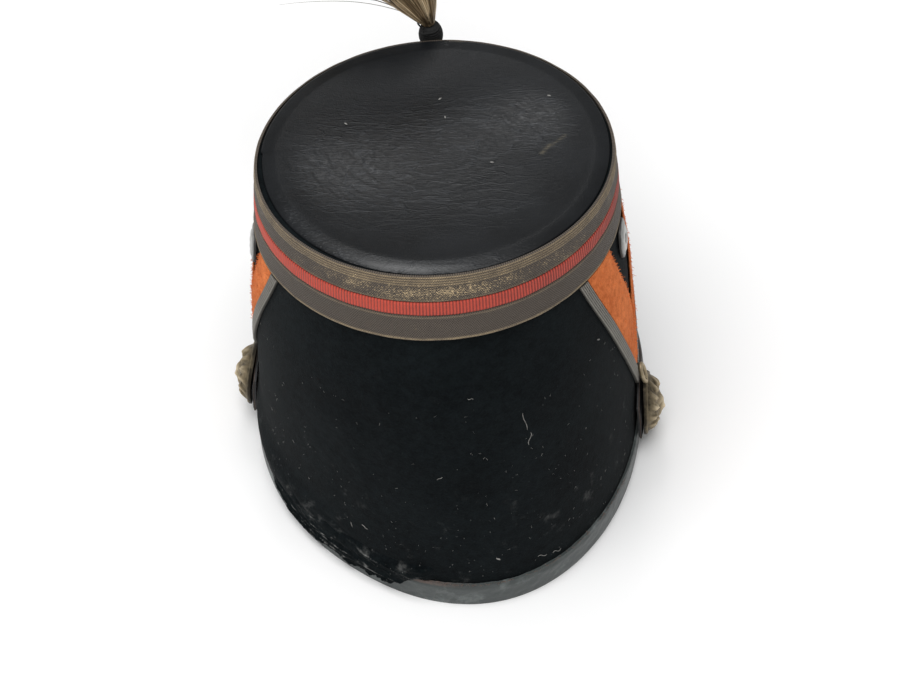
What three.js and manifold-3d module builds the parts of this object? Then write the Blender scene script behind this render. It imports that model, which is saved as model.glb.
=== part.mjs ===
// A nineteenth-century felt shako: tapering felt body, leather crown, lace round the top,
// felt and braid chevrons, vents and lion bosses at the sides, leather base band, peak,
// chin strap and a horsehair plume. Millimetres, +Z up, front towards -Y, wearer's left +X.
import * as THREE from 'three';
import { mergeVertices } from 'three/addons/utils/BufferGeometryUtils.js';
import Module from 'manifold-3d';

const wasm = await Module();
wasm.setup();

// Outline of the top edge: an ellipse on a plane that rises to the back and to the right.
const TOP = {
  x: 1.45, y: -0.1, z: 156.6, halfWidth: 72.8, halfDepth: 75.0, backRise: 0.1235, leftFall: 0.0619,
};

// Outline of the felt's lower edge, straight down from there to the surface it stands on.
const BASE = { x: -5.0, y: 11.9, z: 10.6, halfWidth: 80.4, halfDepth: 104.6, squareness: 2.05 };

// How far the old felt has gone out of true at the base: waves round it, and one flattened place.
const WAVES = [
  { turns: 2, cosine: 2.35, sine: -0.35 },
  { turns: 3, cosine: 0.47, sine: -0.82 },
];
const FLAT = { depth: 8.6, angle: 66, spread: 40 };

// Swelling of the wall halfway down, and how far the lace pulls the felt in at the top.
const SWELL = { front: 0.45, back: 3.6, sides: -1.0 };
const TUCK = { depth: 1.5, whole: 0.2, none: 0.43 };

const GAP = 0.3;
const FELT = 2.5;
const LEATHER = 1.3;
const RING_STEPS = 64;
const BODY_ROWS = { outer: 9, inner: 4 };

// Leather crown: a thin dished disc with a rolled edge, and shallow hollows pressed into it.
const CROWN = {
  inset: 2.4, thick: 2.2, proud: 1.3, seat: 0.39, rollDrop: 1.7, rollOut: 0.6,
  dish: 1.6, dishPower: 6, flatFrom: 0.92, fadePower: 4,
  frontRings: [0.22, 0.44, 0.64, 0.82, 0.92, 1, 1.4, 1.8], backRings: [0.6, 1],
};
const CROWN_HOLLOWS = [
  { x: 6, y: -44, spread: 26, depth: 1.7 },
  { x: -36, y: 30, spread: 24, depth: 1.3 },
  { x: 38, y: 20, spread: 30, depth: 0.9 },
];

// The three bands round the top, measured down the wall from the top edge.
const TOP_BANDS = [
  { name: 'lace_upper', from: 0.0, to: 11.4, thick: 1.2, color: 0x7a6a55, metalness: 0.5 },
  { name: 'red_stripe', from: 11.7, to: 17.4, thick: 1.3, color: 0xb23a2c, metalness: 0.0 },
  { name: 'lace_lower', from: 17.7, to: 29.0, thick: 1.2, color: 0x6f604d, metalness: 0.5 },
];

// Side chevrons. Angles are degrees back from the side; each falls by its own amount down the wall.
const CHEVRONS = [
  {
    side: 'right', axis: 6.9, axisFall: 7.2,
    outer: 41.3, outerFall: 46.5, inner: 21.5, innerFall: 40.3,
  },
  {
    side: 'left', axis: 12.1, axisFall: 17.8,
    outer: 34.2, outerFall: 42.2, inner: 18.0, innerFall: 34.0,
  },
];
const BRAID = { degrees: 3.8, thick: 1.6, endWidth: 1.6 };
const CHEVRON_FELT = { thick: 1.2, seam: 0.25, endWidth: 2 };
const STRIP = { clear: 0.4, tipDegrees: 0.8, rows: 9 };

// Side fittings: degrees back from the side, and how far down the wall or how high the middle is.
const VENTS = [
  { side: 'right', angle: 5.2, drop: 0.265 },
  { side: 'left', angle: 7.4, drop: 0.275 },
];
const VENT = { seat: 0.75, steps: 20, slopeDrop: 0.05, slopeAngle: 3 };

// Section of a vent, from its hole out and back over its dome: radius and height.
const VENT_SECTION = [
  [2.4, 0], [8.2, 0], [8.2, 0.54], [7.05, 0.9], [4.9, 1.75], [4.1, 2.0], [2.4, 1.6], [2.4, 0],
];

const BOSSES = [
  { side: 'right', angle: 1.2, z: 19.5 },
  { side: 'left', angle: -2.2, z: 20.5 },
];
const BOSS = { radius: 14, flange: 1.3, maskEdge: 0.97, steps: 30, rings: 8 };

// The lion mask: its dome, the ring of locks round it, and bell-shaped features. Places and widths
// are shares of the radius; a feature off the middle is on both sides, and a cut has no height.
const MASK_DOME = { rise: 4.2, reach: 0.9, power: 0.7 };
const MANE = { at: 0.68, spread: 0.2, rise: 0.7, lockRise: 0.8, locks: 13, twist: 7 };
const MASK_FEATURES = [
  { part: 'brow', x: 0, y: 0.3, wide: 0.34, high: 0.16, rise: 0.8 },
  { part: 'bridge', x: 0, y: 0.02, wide: 0.13, high: 0.3, rise: 1.7 },
  { part: 'nose', x: 0, y: -0.14, wide: 0.16, high: 0.1, rise: 1.0 },
  { part: 'cheek', x: 0.18, y: -0.28, wide: 0.15, high: 0.13, rise: 1.3 },
  { part: 'chin', x: 0, y: -0.58, wide: 0.2, high: 0.12, rise: 1.5 },
  { part: 'ear', x: 0.5, y: 0.48, wide: 0.13, high: 0.13, rise: 1.0 },
  { part: 'eye', x: 0.26, y: 0.1, wide: 0.1, high: 0.07, rise: -0.9 },
  { part: 'mouth', x: 0, y: -0.44, wide: 0.26, high: 0.055, rise: -1.6 },
];

const BAND = { top: 11.9, backRise: 0.9, flare: 0.2, lip: 1.3, lipInset: 3.2 };
const STRAP = {
  width: 16, thick: 1.6, zSide: 20, zFront: 22.5, endPast: 7.0, steps: 44,
  tab: 2.8, tabSpread: 7,
};
const PEAK = {
  halfAngle: 56, depth: 48, endDepth: 1.5, splay: 0.55, thick: 2.2, rootZ: 7.4, tipZ: 1.4,
  fullness: 2.3, bluntness: 0.8, steps: 28, rows: 4,
};

// Horsehair plume, bound in black at its foot and held by a leather socket on the front.
const PLUME = {
  angle: 274.6, length: 120, coreShare: 0.9, lean: 33, forward: 0.75, rise: 0.66, stand: 12,
  droop: 30, locks: 11, seed: 7, rootRing: 1.2, rootRise: 0.2,
};
const LOCK = {
  radius: 6.4, coreRadius: 9, splay: 24, splayExtra: 8, splayPower: 0.9, shortest: 0.84,
  droopLeast: 0.8, droopMost: 1.2, sides: 6, rows: 7,
  root: 0.3, belly: 0.75, bellyStart: 0.06, bellyEnd: 0.7, taper: 0.85, taperPower: 4, nearby: 0.02,
};
const KNOT = {
  radius: 4.3, waist: 0.7, roundness: 0.8, ridge: 0.2, ridges: 10, height: 12, below: 7, sides: 14,
};
const SOCKET = { inner: 2.3, outer: 4.5, from: 7.5, length: 23, pinShare: 0.8, pinSides: 10 };

const radians = (degrees) => degrees * Math.PI / 180;
const mix = (a, b, share) => a + (b - a) * share;
const steps = (count) => Array.from({ length: count + 1 }, (_, i) => i / count);

// Height of the plane that the top edge lies on.
function topHeight(x, y) {
  return TOP.z + TOP.backRise * (y - TOP.y) - TOP.leftFall * (x - TOP.x);
}

// Superellipse term: the sign of the value, with its size raised to a power.
function signedPower(value, power) {
  return Math.sign(value) * Math.abs(value) ** power;
}

// A point on the wall, out from the felt's outer face. drop runs from 0 at the top edge to 1 at
// the felt's lower edge; past 1 it is taken straight down to the height z.
function wallPoint(angle, drop, out = 0, z = null) {
  const a = radians(angle);
  const [c, s] = [Math.cos(a), Math.sin(a)];
  const share = Math.min(drop, 1);
  const power = 2 / BASE.squareness;
  const off = ((angle - FLAT.angle + 900) % 360) - 180;
  const flat = FLAT.depth * Math.exp(-((off / FLAT.spread) ** 2));
  const wave = (w) => w.cosine * Math.cos(w.turns * a) + w.sine * Math.sin(w.turns * a);
  const waves = WAVES.reduce((sum, w) => sum + wave(w), 0);
  const sag = waves - flat;
  const most = mix(SWELL.front, SWELL.back, (1 + s) / 2) + SWELL.sides * c * c;
  const swell = most * 4 * share * (1 - share);
  const tuck = TUCK.depth * (1 - THREE.MathUtils.smoothstep(share, TUCK.whole, TUCK.none));
  const grow = swell - tuck + out + sag * share;
  const topX = TOP.x + TOP.halfWidth * c;
  const topY = TOP.y + TOP.halfDepth * s;
  const x = mix(topX, BASE.x + BASE.halfWidth * signedPower(c, power), share) + grow * c;
  const y = mix(topY, BASE.y + BASE.halfDepth * signedPower(s, power), share) + grow * s;
  const upper = topHeight(topX + out * c, topY + out * s);
  return new THREE.Vector3(x, y, z ?? mix(upper, BASE.z, share));
}

// Length of the wall from the top edge to the felt's lower edge, and the drop for a length down it.
function wallLength(angle) {
  return wallPoint(angle, 0).distanceTo(wallPoint(angle, 1));
}
function dropFor(angle, length) {
  return length / wallLength(angle);
}

// A point on the wall at a height, above or below the felt's lower edge.
function wallAtHeight(angle, z, out) {
  const top = wallPoint(angle, 0).z;
  return z < BASE.z ? wallPoint(angle, 1, out, z) : wallPoint(angle, (top - z) / (top - BASE.z), out);
}

// The angle round the hat for a place given as degrees back from one side.
function sideAngle(side, back) {
  return side === 'left' ? back : 180 - back;
}

function material(color, roughness, metalness = 0) {
  return new THREE.MeshStandardMaterial({ color, roughness, metalness });
}

const FINISH = {
  felt: () => material(0x14181a, 0.95),
  leather: () => material(0x1b1c1e, 0.45),
  orange: () => material(0xb4522a, 0.9),
  braid: () => material(0x5f5a52, 0.6, 0.4),
  brass: () => material(0x6b5a35, 0.45, 0.9),
  tin: () => material(0x8d8d88, 0.4, 0.9),
  hair: () => material(0xb59f7c, 0.7),
  thread: () => material(0x121212, 0.8),
};

// Turns lists of points and triangles into geometry whose faces point out.
function solidGeometry(points, faces) {
  let volume = 0;
  for (const [i, j, k] of faces) {
    volume += points[i].dot(points[j].clone().cross(points[k]));
  }
  const turned = volume < 0 ? faces.map(([i, j, k]) => [i, k, j]) : faces;
  const geometry = new THREE.BufferGeometry();
  const places = points.flatMap((p) => p.toArray());
  geometry.setAttribute('position', new THREE.Float32BufferAttribute(places, 3));
  geometry.setIndex(turned.flat());
  geometry.computeVertexNormals();
  return geometry;
}

// Skins a row of closed sections, all with the same number of points. A closed row joins its last
// section to its first; an open one is capped at both ends by a fan from the section's middle.
function loft(sections, closed) {
  const count = sections[0].length;
  const points = sections.flat();
  const faces = [];
  const last = closed ? sections.length : sections.length - 1;
  for (let i = 0; i < last; i += 1) {
    const a = i * count;
    const b = ((i + 1) % sections.length) * count;
    for (let j = 0; j < count; j += 1) {
      const next = (j + 1) % count;
      faces.push([a + j, b + j, b + next], [a + j, b + next, a + next]);
    }
  }
  if (!closed) {
    for (const [index, flip] of [[0, false], [sections.length - 1, true]]) {
      const middle = new THREE.Vector3();
      sections[index].forEach((p) => middle.addScaledVector(p, 1 / count));
      const centre = points.push(middle) - 1;
      for (let j = 0; j < count; j += 1) {
        const a = index * count + j;
        const b = index * count + ((j + 1) % count);
        faces.push(flip ? [centre, b, a] : [centre, a, b]);
      }
    }
  }
  return solidGeometry(points, faces);
}

// A disc-like solid: rings of points from a middle point on the front, and the same on the back.
function discSolid(stepCount, frontRings, backRings, front, back) {
  const points = [front(0, 0), back(0, 0)];
  const angles = Array.from({ length: stepCount }, (_, i) => 360 * i / stepCount);
  const rings = [
    ...frontRings.map((r) => [front, r]), ...backRings.toReversed().map((r) => [back, r]),
  ];
  const faces = [];
  for (const [surface, r] of rings) {
    points.push(...angles.map((angle) => surface(angle, r)));
  }
  for (let i = 0; i < stepCount; i += 1) {
    const next = (i + 1) % stepCount;
    faces.push([0, 2 + i, 2 + next]);
    for (let k = 0; k + 1 < rings.length; k += 1) {
      const a = 2 + k * stepCount;
      const b = a + stepCount;
      faces.push([a + i, b + i, b + next], [a + i, b + next, a + next]);
    }
    const end = 2 + (rings.length - 1) * stepCount;
    faces.push([1, end + next, end + i]);
  }
  return solidGeometry(points, faces);
}

function piece(name, geometry, finish) {
  const mesh = new THREE.Mesh(geometry, finish);
  mesh.name = name;
  return mesh;
}

// One ring all the way round, from the section that a function gives at each angle.
function ring(section) {
  const angles = Array.from({ length: RING_STEPS }, (_, i) => 360 * i / RING_STEPS);
  return loft(angles.map(section), true);
}

// Felt body: a tapering wall, open at both ends, standing inside the leather base band.
function body() {
  const foot = BAND.lip + GAP;
  const topGap = CROWN.thick + CROWN.seat - CROWN.proud;
  const section = (angle) => {
    const start = dropFor(angle, topGap);
    const outer = steps(BODY_ROWS.outer).map((k) => wallPoint(angle, mix(start, 1, k)));
    const inner = steps(BODY_ROWS.inner).map((k) => wallPoint(angle, mix(1, start, k), -FELT));
    return [...outer, wallPoint(angle, 1, 0, foot), wallPoint(angle, 1, -FELT, foot), ...inner];
  };
  return piece('body', ring(section), FINISH.felt());
}

// Height of the crown's upper face above the plane of the top edge, at a share of its radius.
function crownRelief(x, y, share) {
  const out = Math.min(1, share / CROWN.flatFrom);
  const dished = CROWN.proud - CROWN.dish * (1 - out ** CROWN.dishPower);
  return CROWN_HOLLOWS.reduce((height, hollow) => {
    const distance = Math.hypot(x - hollow.x, y - hollow.y) / hollow.spread;
    return height - hollow.depth * Math.exp(-(distance ** 2)) * (1 - out ** CROWN.fadePower);
  }, dished);
}

// Leather crown: the disc closes the body, its rolled edge standing a little above the lace.
// Ring shares up to 1 cross the disc, and from there to 2 they go down its rolled edge.
function crown() {
  const middle = new THREE.Vector3(TOP.x, TOP.y, 0);
  const spot = (angle, share, out = 0) => wallPoint(angle, 0, TUCK.depth - CROWN.inset + out)
    .sub(middle).multiplyScalar(share).add(middle);
  const lifted = (p, level, height) => p.setZ(topHeight(level.x, level.y) + height);
  const front = (angle, share) => {
    const flat = spot(angle, Math.min(share, 1));
    const down = Math.max(0, share - 1);
    const edge = spot(angle, Math.min(share, 1), CROWN.rollOut * Math.sin(Math.PI * down));
    const height = crownRelief(flat.x, flat.y, Math.min(share, 1)) - CROWN.rollDrop * down;
    return lifted(edge, flat, height);
  };
  const back = (angle, share) => {
    const flat = spot(angle, share);
    return lifted(flat.clone(), flat, crownRelief(flat.x, flat.y, share) - CROWN.thick);
  };
  const disc = discSolid(RING_STEPS, CROWN.frontRings, CROWN.backRings, front, back);
  return piece('crown_top', disc, FINISH.leather());
}

// The woven bands round the top: two of lace with a red stripe between them.
function topBands() {
  return TOP_BANDS.map((band) => {
    const section = (angle) => {
      const [from, to] = [dropFor(angle, band.from), dropFor(angle, band.to)];
      return [
        wallPoint(angle, from, GAP), wallPoint(angle, from, GAP + band.thick),
        wallPoint(angle, to, GAP + band.thick), wallPoint(angle, to, GAP),
      ];
    };
    return piece(band.name, ring(section), material(band.color, 0.6, band.metalness));
  });
}

// Half-widths of a chevron in degrees either side of its axis, at a drop down the wall.
function chevronEdges(row, drop) {
  const outer = row.outer - row.outerFall * drop;
  const inner = row.inner - row.innerFall * drop;
  return { axis: row.axis - row.axisFall * drop, outer, inner };
}

// One strip on the wall between two edge angles, from the lace down to the drop where it ends.
function wallStrip(row, direction, endDrop, thick, edges) {
  const laceEnd = TOP_BANDS.at(-1).to + GAP;
  const start = dropFor(sideAngle(row.side, row.axis), laceEnd);
  const sections = steps(STRIP.rows).map((k) => {
    const guess = mix(start, endDrop, k);
    const [near, far] = edges(guess);
    const axis = chevronEdges(row, guess).axis;
    const halves = [near, mix(near, far, 0.5), far];
    const across = halves.map((half) => sideAngle(row.side, axis + direction * half));
    const drops = across.map((angle) => mix(dropFor(angle, laceEnd), endDrop, k));
    const outer = across.map((angle, i) => wallPoint(angle, drops[i], GAP + thick));
    const inner = across.map((angle, i) => wallPoint(angle, drops[i], STRIP.clear));
    return [...outer, ...inner.toReversed()];
  });
  return loft(sections, false);
}

// Chevrons: on each side two legs of orange felt, each edged outside by a grey braid.
function chevrons() {
  const meshes = [];
  for (const row of CHEVRONS) {
    for (const [place, direction] of [['rear', 1], ['front', -1]]) {
      const felt = (drop) => {
        const edge = chevronEdges(row, drop);
        const near = Math.max(edge.inner, CHEVRON_FELT.seam);
        const far = edge.outer - BRAID.degrees - CHEVRON_FELT.seam;
        return [near, Math.max(far, near + STRIP.tipDegrees)];
      };
      const braid = (drop) => {
        const edge = chevronEdges(row, drop);
        const near = Math.max(edge.outer - BRAID.degrees, CHEVRON_FELT.seam);
        return [near, Math.max(edge.outer, near + STRIP.tipDegrees)];
      };
      const feltEnd = (row.outer - BRAID.degrees - CHEVRON_FELT.endWidth) / row.outerFall;
      const braidEnd = (row.outer - BRAID.endWidth) / row.outerFall;
      const feltStrip = wallStrip(row, direction, feltEnd, CHEVRON_FELT.thick, felt);
      const braidStrip = wallStrip(row, direction, braidEnd, BRAID.thick, braid);
      meshes.push(piece(`chevron_${row.side}_${place}`, feltStrip, FINISH.orange()));
      meshes.push(piece(`braid_${row.side}_${place}`, braidStrip, FINISH.braid()));
    }
  }
  return meshes;
}

// A group whose own Z points straight out of the wall at a place on a side, and whose Y is up.
function sideGroup(place, outward, up) {
  const across = new THREE.Vector3().crossVectors(up, outward).normalize();
  const group = new THREE.Group();
  const turn = new THREE.Matrix4().makeBasis(across, up, outward);
  group.quaternion.setFromRotationMatrix(turn);
  group.position.copy(place);
  return group;
}

// Vents: a domed metal eyelet with a small hole in its middle, high between each chevron's legs.
function vents() {
  return VENTS.map((row) => {
    const angle = sideAngle(row.side, row.angle);
    const [above, below] = [-1, 1].map((way) => wallPoint(angle, row.drop + way * VENT.slopeDrop));
    const [before, after] = [-1, 1].map((way) => wallPoint(angle + way * VENT.slopeAngle, row.drop));
    const up = above.sub(below).normalize();
    const along = before.sub(after);
    const outward = new THREE.Vector3().crossVectors(up, along).normalize();
    if (outward.x * (row.side === 'left' ? 1 : -1) < 0) outward.negate();
    const group = sideGroup(wallPoint(angle, row.drop), outward, up);
    const profile = VENT_SECTION.map(([radius, z]) => new THREE.Vector2(radius, VENT.seat + z));
    const geometry = new THREE.LatheGeometry(profile, VENT.steps);
    geometry.rotateX(Math.PI / 2);
    group.add(piece(`vent_${row.side}`, geometry, FINISH.tin()));
    return group;
  });
}

// Relief of the lion mask above its flange: u across and v up, as shares of the radius.
function lionRelief(u, v) {
  const r = Math.hypot(u, v);
  const turn = Math.atan2(v, u);
  const dome = MASK_DOME.rise * Math.max(0, 1 - (r / MASK_DOME.reach) ** 2) ** MASK_DOME.power;
  const ridge = Math.max(0, 1 - ((r - MANE.at) / MANE.spread) ** 2);
  const locks = Math.cos(turn * MANE.locks + Math.sin(r * MANE.twist));
  const bell = (f, x) => f.rise * Math.exp(-(((u - x) / f.wide) ** 2) - ((v - f.y) / f.high) ** 2);
  const sides = (f) => (f.x === 0 ? [0] : [f.x, -f.x]);
  const features = MASK_FEATURES.flatMap((f) => sides(f).map((x) => bell(f, x)));
  const face = features.reduce((sum, rise) => sum + rise, 0);
  return dome + (MANE.rise + MANE.lockRise * locks) * ridge + face;
}

// Lion-mask bosses over the ends of the chin strap.
function bosses() {
  return BOSSES.map((row) => {
    const angle = sideAngle(row.side, row.angle);
    const stand = GAP + LEATHER + BAND.flare + GAP + STRAP.thick + GAP;
    const out = new THREE.Vector3(Math.cos(radians(angle)), Math.sin(radians(angle)), 0);
    const group = sideGroup(wallPoint(angle, 1, stand, row.z), out, new THREE.Vector3(0, 0, 1));
    const front = (turn, share) => {
      const a = radians(turn);
      const [u, v] = [share * Math.cos(a), share * Math.sin(a)];
      const relief = share < BOSS.maskEdge ? Math.max(0, lionRelief(u, v)) : 0;
      return new THREE.Vector3(u * BOSS.radius, v * BOSS.radius, BOSS.flange + relief);
    };
    const back = (turn, share) => {
      const a = radians(turn);
      const r = share * BOSS.radius;
      return new THREE.Vector3(r * Math.cos(a), r * Math.sin(a), 0);
    };
    const shares = Array.from({ length: BOSS.rings }, (_, i) => (i + 1) / BOSS.rings);
    const geometry = discSolid(BOSS.steps, shares, [1], front, back);
    group.add(piece(`boss_${row.side}`, geometry, FINISH.brass()));
    return group;
  });
}

// Base band: leather round the outside of the felt's lower edge and folded under it.
function baseBand() {
  const section = (angle) => {
    const top = BAND.top + BAND.backRise * Math.sin(radians(angle));
    const face = GAP + LEATHER;
    return [
      wallAtHeight(angle, top, GAP), wallAtHeight(angle, top, face),
      wallPoint(angle, 1, face), wallPoint(angle, 1, face + BAND.flare, BAND.lip),
      wallPoint(angle, 1, face, 0), wallPoint(angle, 1, -BAND.lipInset, 0),
      wallPoint(angle, 1, -BAND.lipInset, BAND.lip), wallPoint(angle, 1, GAP, BAND.lip),
      wallPoint(angle, 1, GAP),
    ];
  };
  return piece('base_band', ring(section), FINISH.leather());
}

// Chin strap: from just behind one boss, round the front above the peak, to behind the other.
// It widens to a tab under each boss.
function chinStrap() {
  const [right, left] = BOSSES.map((row) => row.angle + STRAP.endPast);
  const tabs = BOSSES.map((row) => (row.side === 'left' ? row.angle : -180 - row.angle));
  const bell = (away) => Math.exp(-((away / STRAP.tabSpread) ** 2));
  const sections = steps(STRAP.steps).map((k) => {
    const angle = mix(left, -180 - right, k);
    const middle = mix(STRAP.zSide, STRAP.zFront, Math.sin(Math.PI * k) ** 2);
    const stand = GAP + LEATHER + BAND.flare + GAP;
    const at = (out, z) => wallAtHeight(angle, z, stand + out);
    const half = STRAP.width / 2 + STRAP.tab * (bell(angle - tabs[0]) + bell(angle - tabs[1]));
    const [low, high] = [middle - half, middle + half];
    return [at(0, low), at(STRAP.thick, low), at(STRAP.thick, high), at(0, high)];
  });
  return piece('chin_strap', loft(sections, false), FINISH.leather());
}

// Peak: a crescent of leather, level across and falling gently from the base band to its edge.
function peak() {
  const sections = steps(PEAK.steps).map((k) => {
    const across = mix(-1, 1, k);
    const angle = 270 + PEAK.halfAngle * across;
    const root = wallPoint(angle, 1, GAP + LEATHER + BAND.flare + GAP, 0);
    const round = (1 - Math.abs(across) ** PEAK.fullness) ** PEAK.bluntness;
    const depth = PEAK.depth * round + PEAK.endDepth;
    const turn = radians(angle);
    const forward = new THREE.Vector3(PEAK.splay * Math.cos(turn), Math.sin(turn), 0).normalize();
    const place = (share, lift) => {
      const p = root.clone().addScaledVector(forward, depth * share);
      p.z = mix(PEAK.rootZ, PEAK.tipZ, share * depth / PEAK.depth) + lift;
      return p;
    };
    const shares = steps(PEAK.rows);
    const upper = shares.map((share) => place(share, PEAK.thick));
    return [...upper, ...shares.toReversed().map((share) => place(share, 0))];
  });
  return piece('peak', loft(sections, false), FINISH.leather());
}

// Merges a geometry's shared corners and hands it over as a solid that can be joined or cut.
function toSolid(geometry) {
  const bare = geometry.clone();
  bare.deleteAttribute('normal');
  bare.deleteAttribute('uv');
  const merged = mergeVertices(bare, 1e-4);
  const mesh = new wasm.Mesh({
    numProp: 3,
    vertProperties: new Float32Array(merged.attributes.position.array),
    triVerts: new Uint32Array(merged.index.array),
  });
  return new wasm.Manifold(mesh);
}

function fromSolid(solid) {
  const mesh = solid.getMesh();
  const geometry = new THREE.BufferGeometry();
  geometry.setAttribute('position', new THREE.Float32BufferAttribute(mesh.vertProperties, 3));
  geometry.setIndex(new THREE.Uint32BufferAttribute(mesh.triVerts, 1));
  geometry.computeVertexNormals();
  return geometry;
}

// A point on the plume socket's axis, which lies along the front of the lace, at a length down it.
function socketPoint(length) {
  const out = GAP + TOP_BANDS[1].thick + GAP + SOCKET.outer;
  const start = wallPoint(PLUME.angle, 0, out);
  const down = wallPoint(PLUME.angle, TUCK.whole, out).sub(start).normalize();
  return start.addScaledVector(down, length);
}

// Foot of the hair: the top of its binding, just above the crown's front edge.
function plumeFoot() {
  return socketPoint(KNOT.below - KNOT.height - GAP);
}

// Which way the hair leaves the binding: up, forward and over to the wearer's left.
function plumeDirection() {
  const lean = radians(PLUME.lean);
  const forward = PLUME.forward * Math.cos(lean);
  return new THREE.Vector3(Math.sin(lean), -forward, PLUME.rise).normalize();
}

// Seeded random numbers from 0 to 1.
function randomSource(seed) {
  let state = seed;
  return () => {
    state = (state * 16807) % 2147483647;
    return state / 2147483647;
  };
}

// Axes of the plume: up out of the socket, the way the hair heads, across it and over it.
function plumeAxes() {
  const up = socketPoint(0).sub(socketPoint(1));
  const heading = plumeDirection();
  const side = new THREE.Vector3().crossVectors(heading, up).normalize();
  return { up, heading, side, over: new THREE.Vector3().crossVectors(side, heading) };
}

// One lock of hair: a tapering tube that leaves the binding straight up, bends over to the
// plume's heading, splays away from its middle at once and droops at its end.
function lock(foot, splay, droop, length, radius) {
  const { up, heading, side } = plumeAxes();
  const path = (k) => {
    const p = foot.clone().addScaledVector(up, 2 * PLUME.stand * k * (1 - k));
    p.addScaledVector(heading, length * k * (1 + k) / 2);
    p.addScaledVector(splay, k ** LOCK.splayPower);
    return p.setZ(p.z - droop * k * k);
  };
  const sections = steps(LOCK.rows).map((k) => {
    const middle = path(k);
    const [before, after] = [path(k - LOCK.nearby), path(k + LOCK.nearby)];
    const tangent = k === 0 ? up : after.sub(before).normalize();
    const over = new THREE.Vector3().crossVectors(side, tangent).normalize();
    const swell = Math.sin(Math.PI * (k * LOCK.bellyEnd + LOCK.bellyStart));
    const size = radius * (LOCK.root + LOCK.belly * swell) * (1 - LOCK.taper * k ** LOCK.taperPower);
    return Array.from({ length: LOCK.sides }, (_, i) => {
      const a = 2 * Math.PI * i / LOCK.sides;
      const rim = middle.clone().addScaledVector(side, size * Math.cos(a));
      return rim.addScaledVector(over, size * Math.sin(a));
    });
  });
  return loft(sections, false);
}

// Plume: locks fused round a core lock.
function plume() {
  const foot = plumeFoot();
  const { side, over } = plumeAxes();
  const random = randomSource(PLUME.seed);
  const coreLength = PLUME.length * PLUME.coreShare;
  const core = lock(foot, new THREE.Vector3(), PLUME.droop, coreLength, LOCK.coreRadius);
  let hair = toSolid(core);
  for (let i = 0; i < PLUME.locks; i += 1) {
    const a = 2 * Math.PI * i / PLUME.locks;
    const [c, s] = [Math.cos(a), Math.sin(a)];
    const root = new THREE.Vector3(PLUME.rootRing * c, PLUME.rootRing * s, PLUME.rootRise);
    const reach = LOCK.splay + LOCK.splayExtra * random();
    const splay = side.clone().multiplyScalar(reach * c).addScaledVector(over, reach * s);
    const length = PLUME.length * mix(LOCK.shortest, 1, random());
    const droop = PLUME.droop * mix(LOCK.droopLeast, LOCK.droopMost, random());
    hair = hair.add(toSolid(lock(root.add(foot), splay, droop, length, LOCK.radius)));
  }
  return piece('plume', fromSolid(hair), FINISH.hair());
}

// Turns a geometry's Y axis onto the socket's axis and puts its middle at a length down it.
function alongSocket(geometry, length) {
  const { up } = plumeAxes();
  const place = socketPoint(length);
  const turn = new THREE.Quaternion().setFromUnitVectors(new THREE.Vector3(0, 1, 0), up);
  geometry.applyQuaternion(turn);
  geometry.translate(place.x, place.y, place.z);
}

// Binding at the plume's foot: a bulb of thread wound in ridges, with a pin down into the socket.
function plumeKnot() {
  const profile = [new THREE.Vector2(0, -KNOT.height / 2)];
  steps(KNOT.ridges).forEach((k, i) => {
    const swell = mix(KNOT.waist, 1, Math.sin(Math.PI * k) ** KNOT.roundness);
    const ridge = i % 2 ? KNOT.ridge : -KNOT.ridge;
    profile.push(new THREE.Vector2(KNOT.radius * swell + ridge, (k - 0.5) * KNOT.height));
  });
  profile.push(new THREE.Vector2(0, KNOT.height / 2));
  const bulb = new THREE.LatheGeometry(profile, KNOT.sides);
  alongSocket(bulb, KNOT.below - KNOT.height / 2);
  const pinEnd = SOCKET.from + SOCKET.length * SOCKET.pinShare;
  const pinRadius = SOCKET.inner - GAP;
  const pin = new THREE.CylinderGeometry(pinRadius, pinRadius, pinEnd, SOCKET.pinSides);
  alongSocket(pin, pinEnd / 2);
  return piece('plume_knot', fromSolid(toSolid(bulb).add(toSolid(pin))), FINISH.thread());
}

// Socket: a plain leather tube against the front of the lace, which takes the pin.
function plumeSocket() {
  const half = SOCKET.length / 2;
  const tube = new THREE.LatheGeometry([
    new THREE.Vector2(SOCKET.inner, -half), new THREE.Vector2(SOCKET.outer, -half),
    new THREE.Vector2(SOCKET.outer, half), new THREE.Vector2(SOCKET.inner, half),
    new THREE.Vector2(SOCKET.inner, -half),
  ], KNOT.sides);
  alongSocket(tube, SOCKET.from + half);
  return piece('plume_socket', tube, FINISH.leather());
}

const shako = new THREE.Group();
shako.add(
  body(), crown(), ...topBands(), ...chevrons(), ...vents(), ...bosses(),
  baseBand(), chinStrap(), peak(), plume(), plumeKnot(), plumeSocket(),
);

// The origin is at the middle of the whole hat's box, on the surface that it stands on.
shako.updateMatrixWorld(true);
const extent = new THREE.Box3().setFromObject(shako, true);
const centre = extent.getCenter(new THREE.Vector3());
shako.position.set(-centre.x, -centre.y, -extent.min.z);

export default shako;
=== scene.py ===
"""Dresses a nineteenth-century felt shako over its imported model.

The hat stands on its leather base band, seen from behind and above. Sizes are in millimetres in
the hat's own frame: +Z up, the front towards -Y and the wearer's left towards +X. They are moved
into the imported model's frame, in metres, as each mesh is made.
"""

import logging
import math
from dataclasses import dataclass
from enum import Enum

import bpy
import numpy as np
from mathutils import Matrix, Vector


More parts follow.
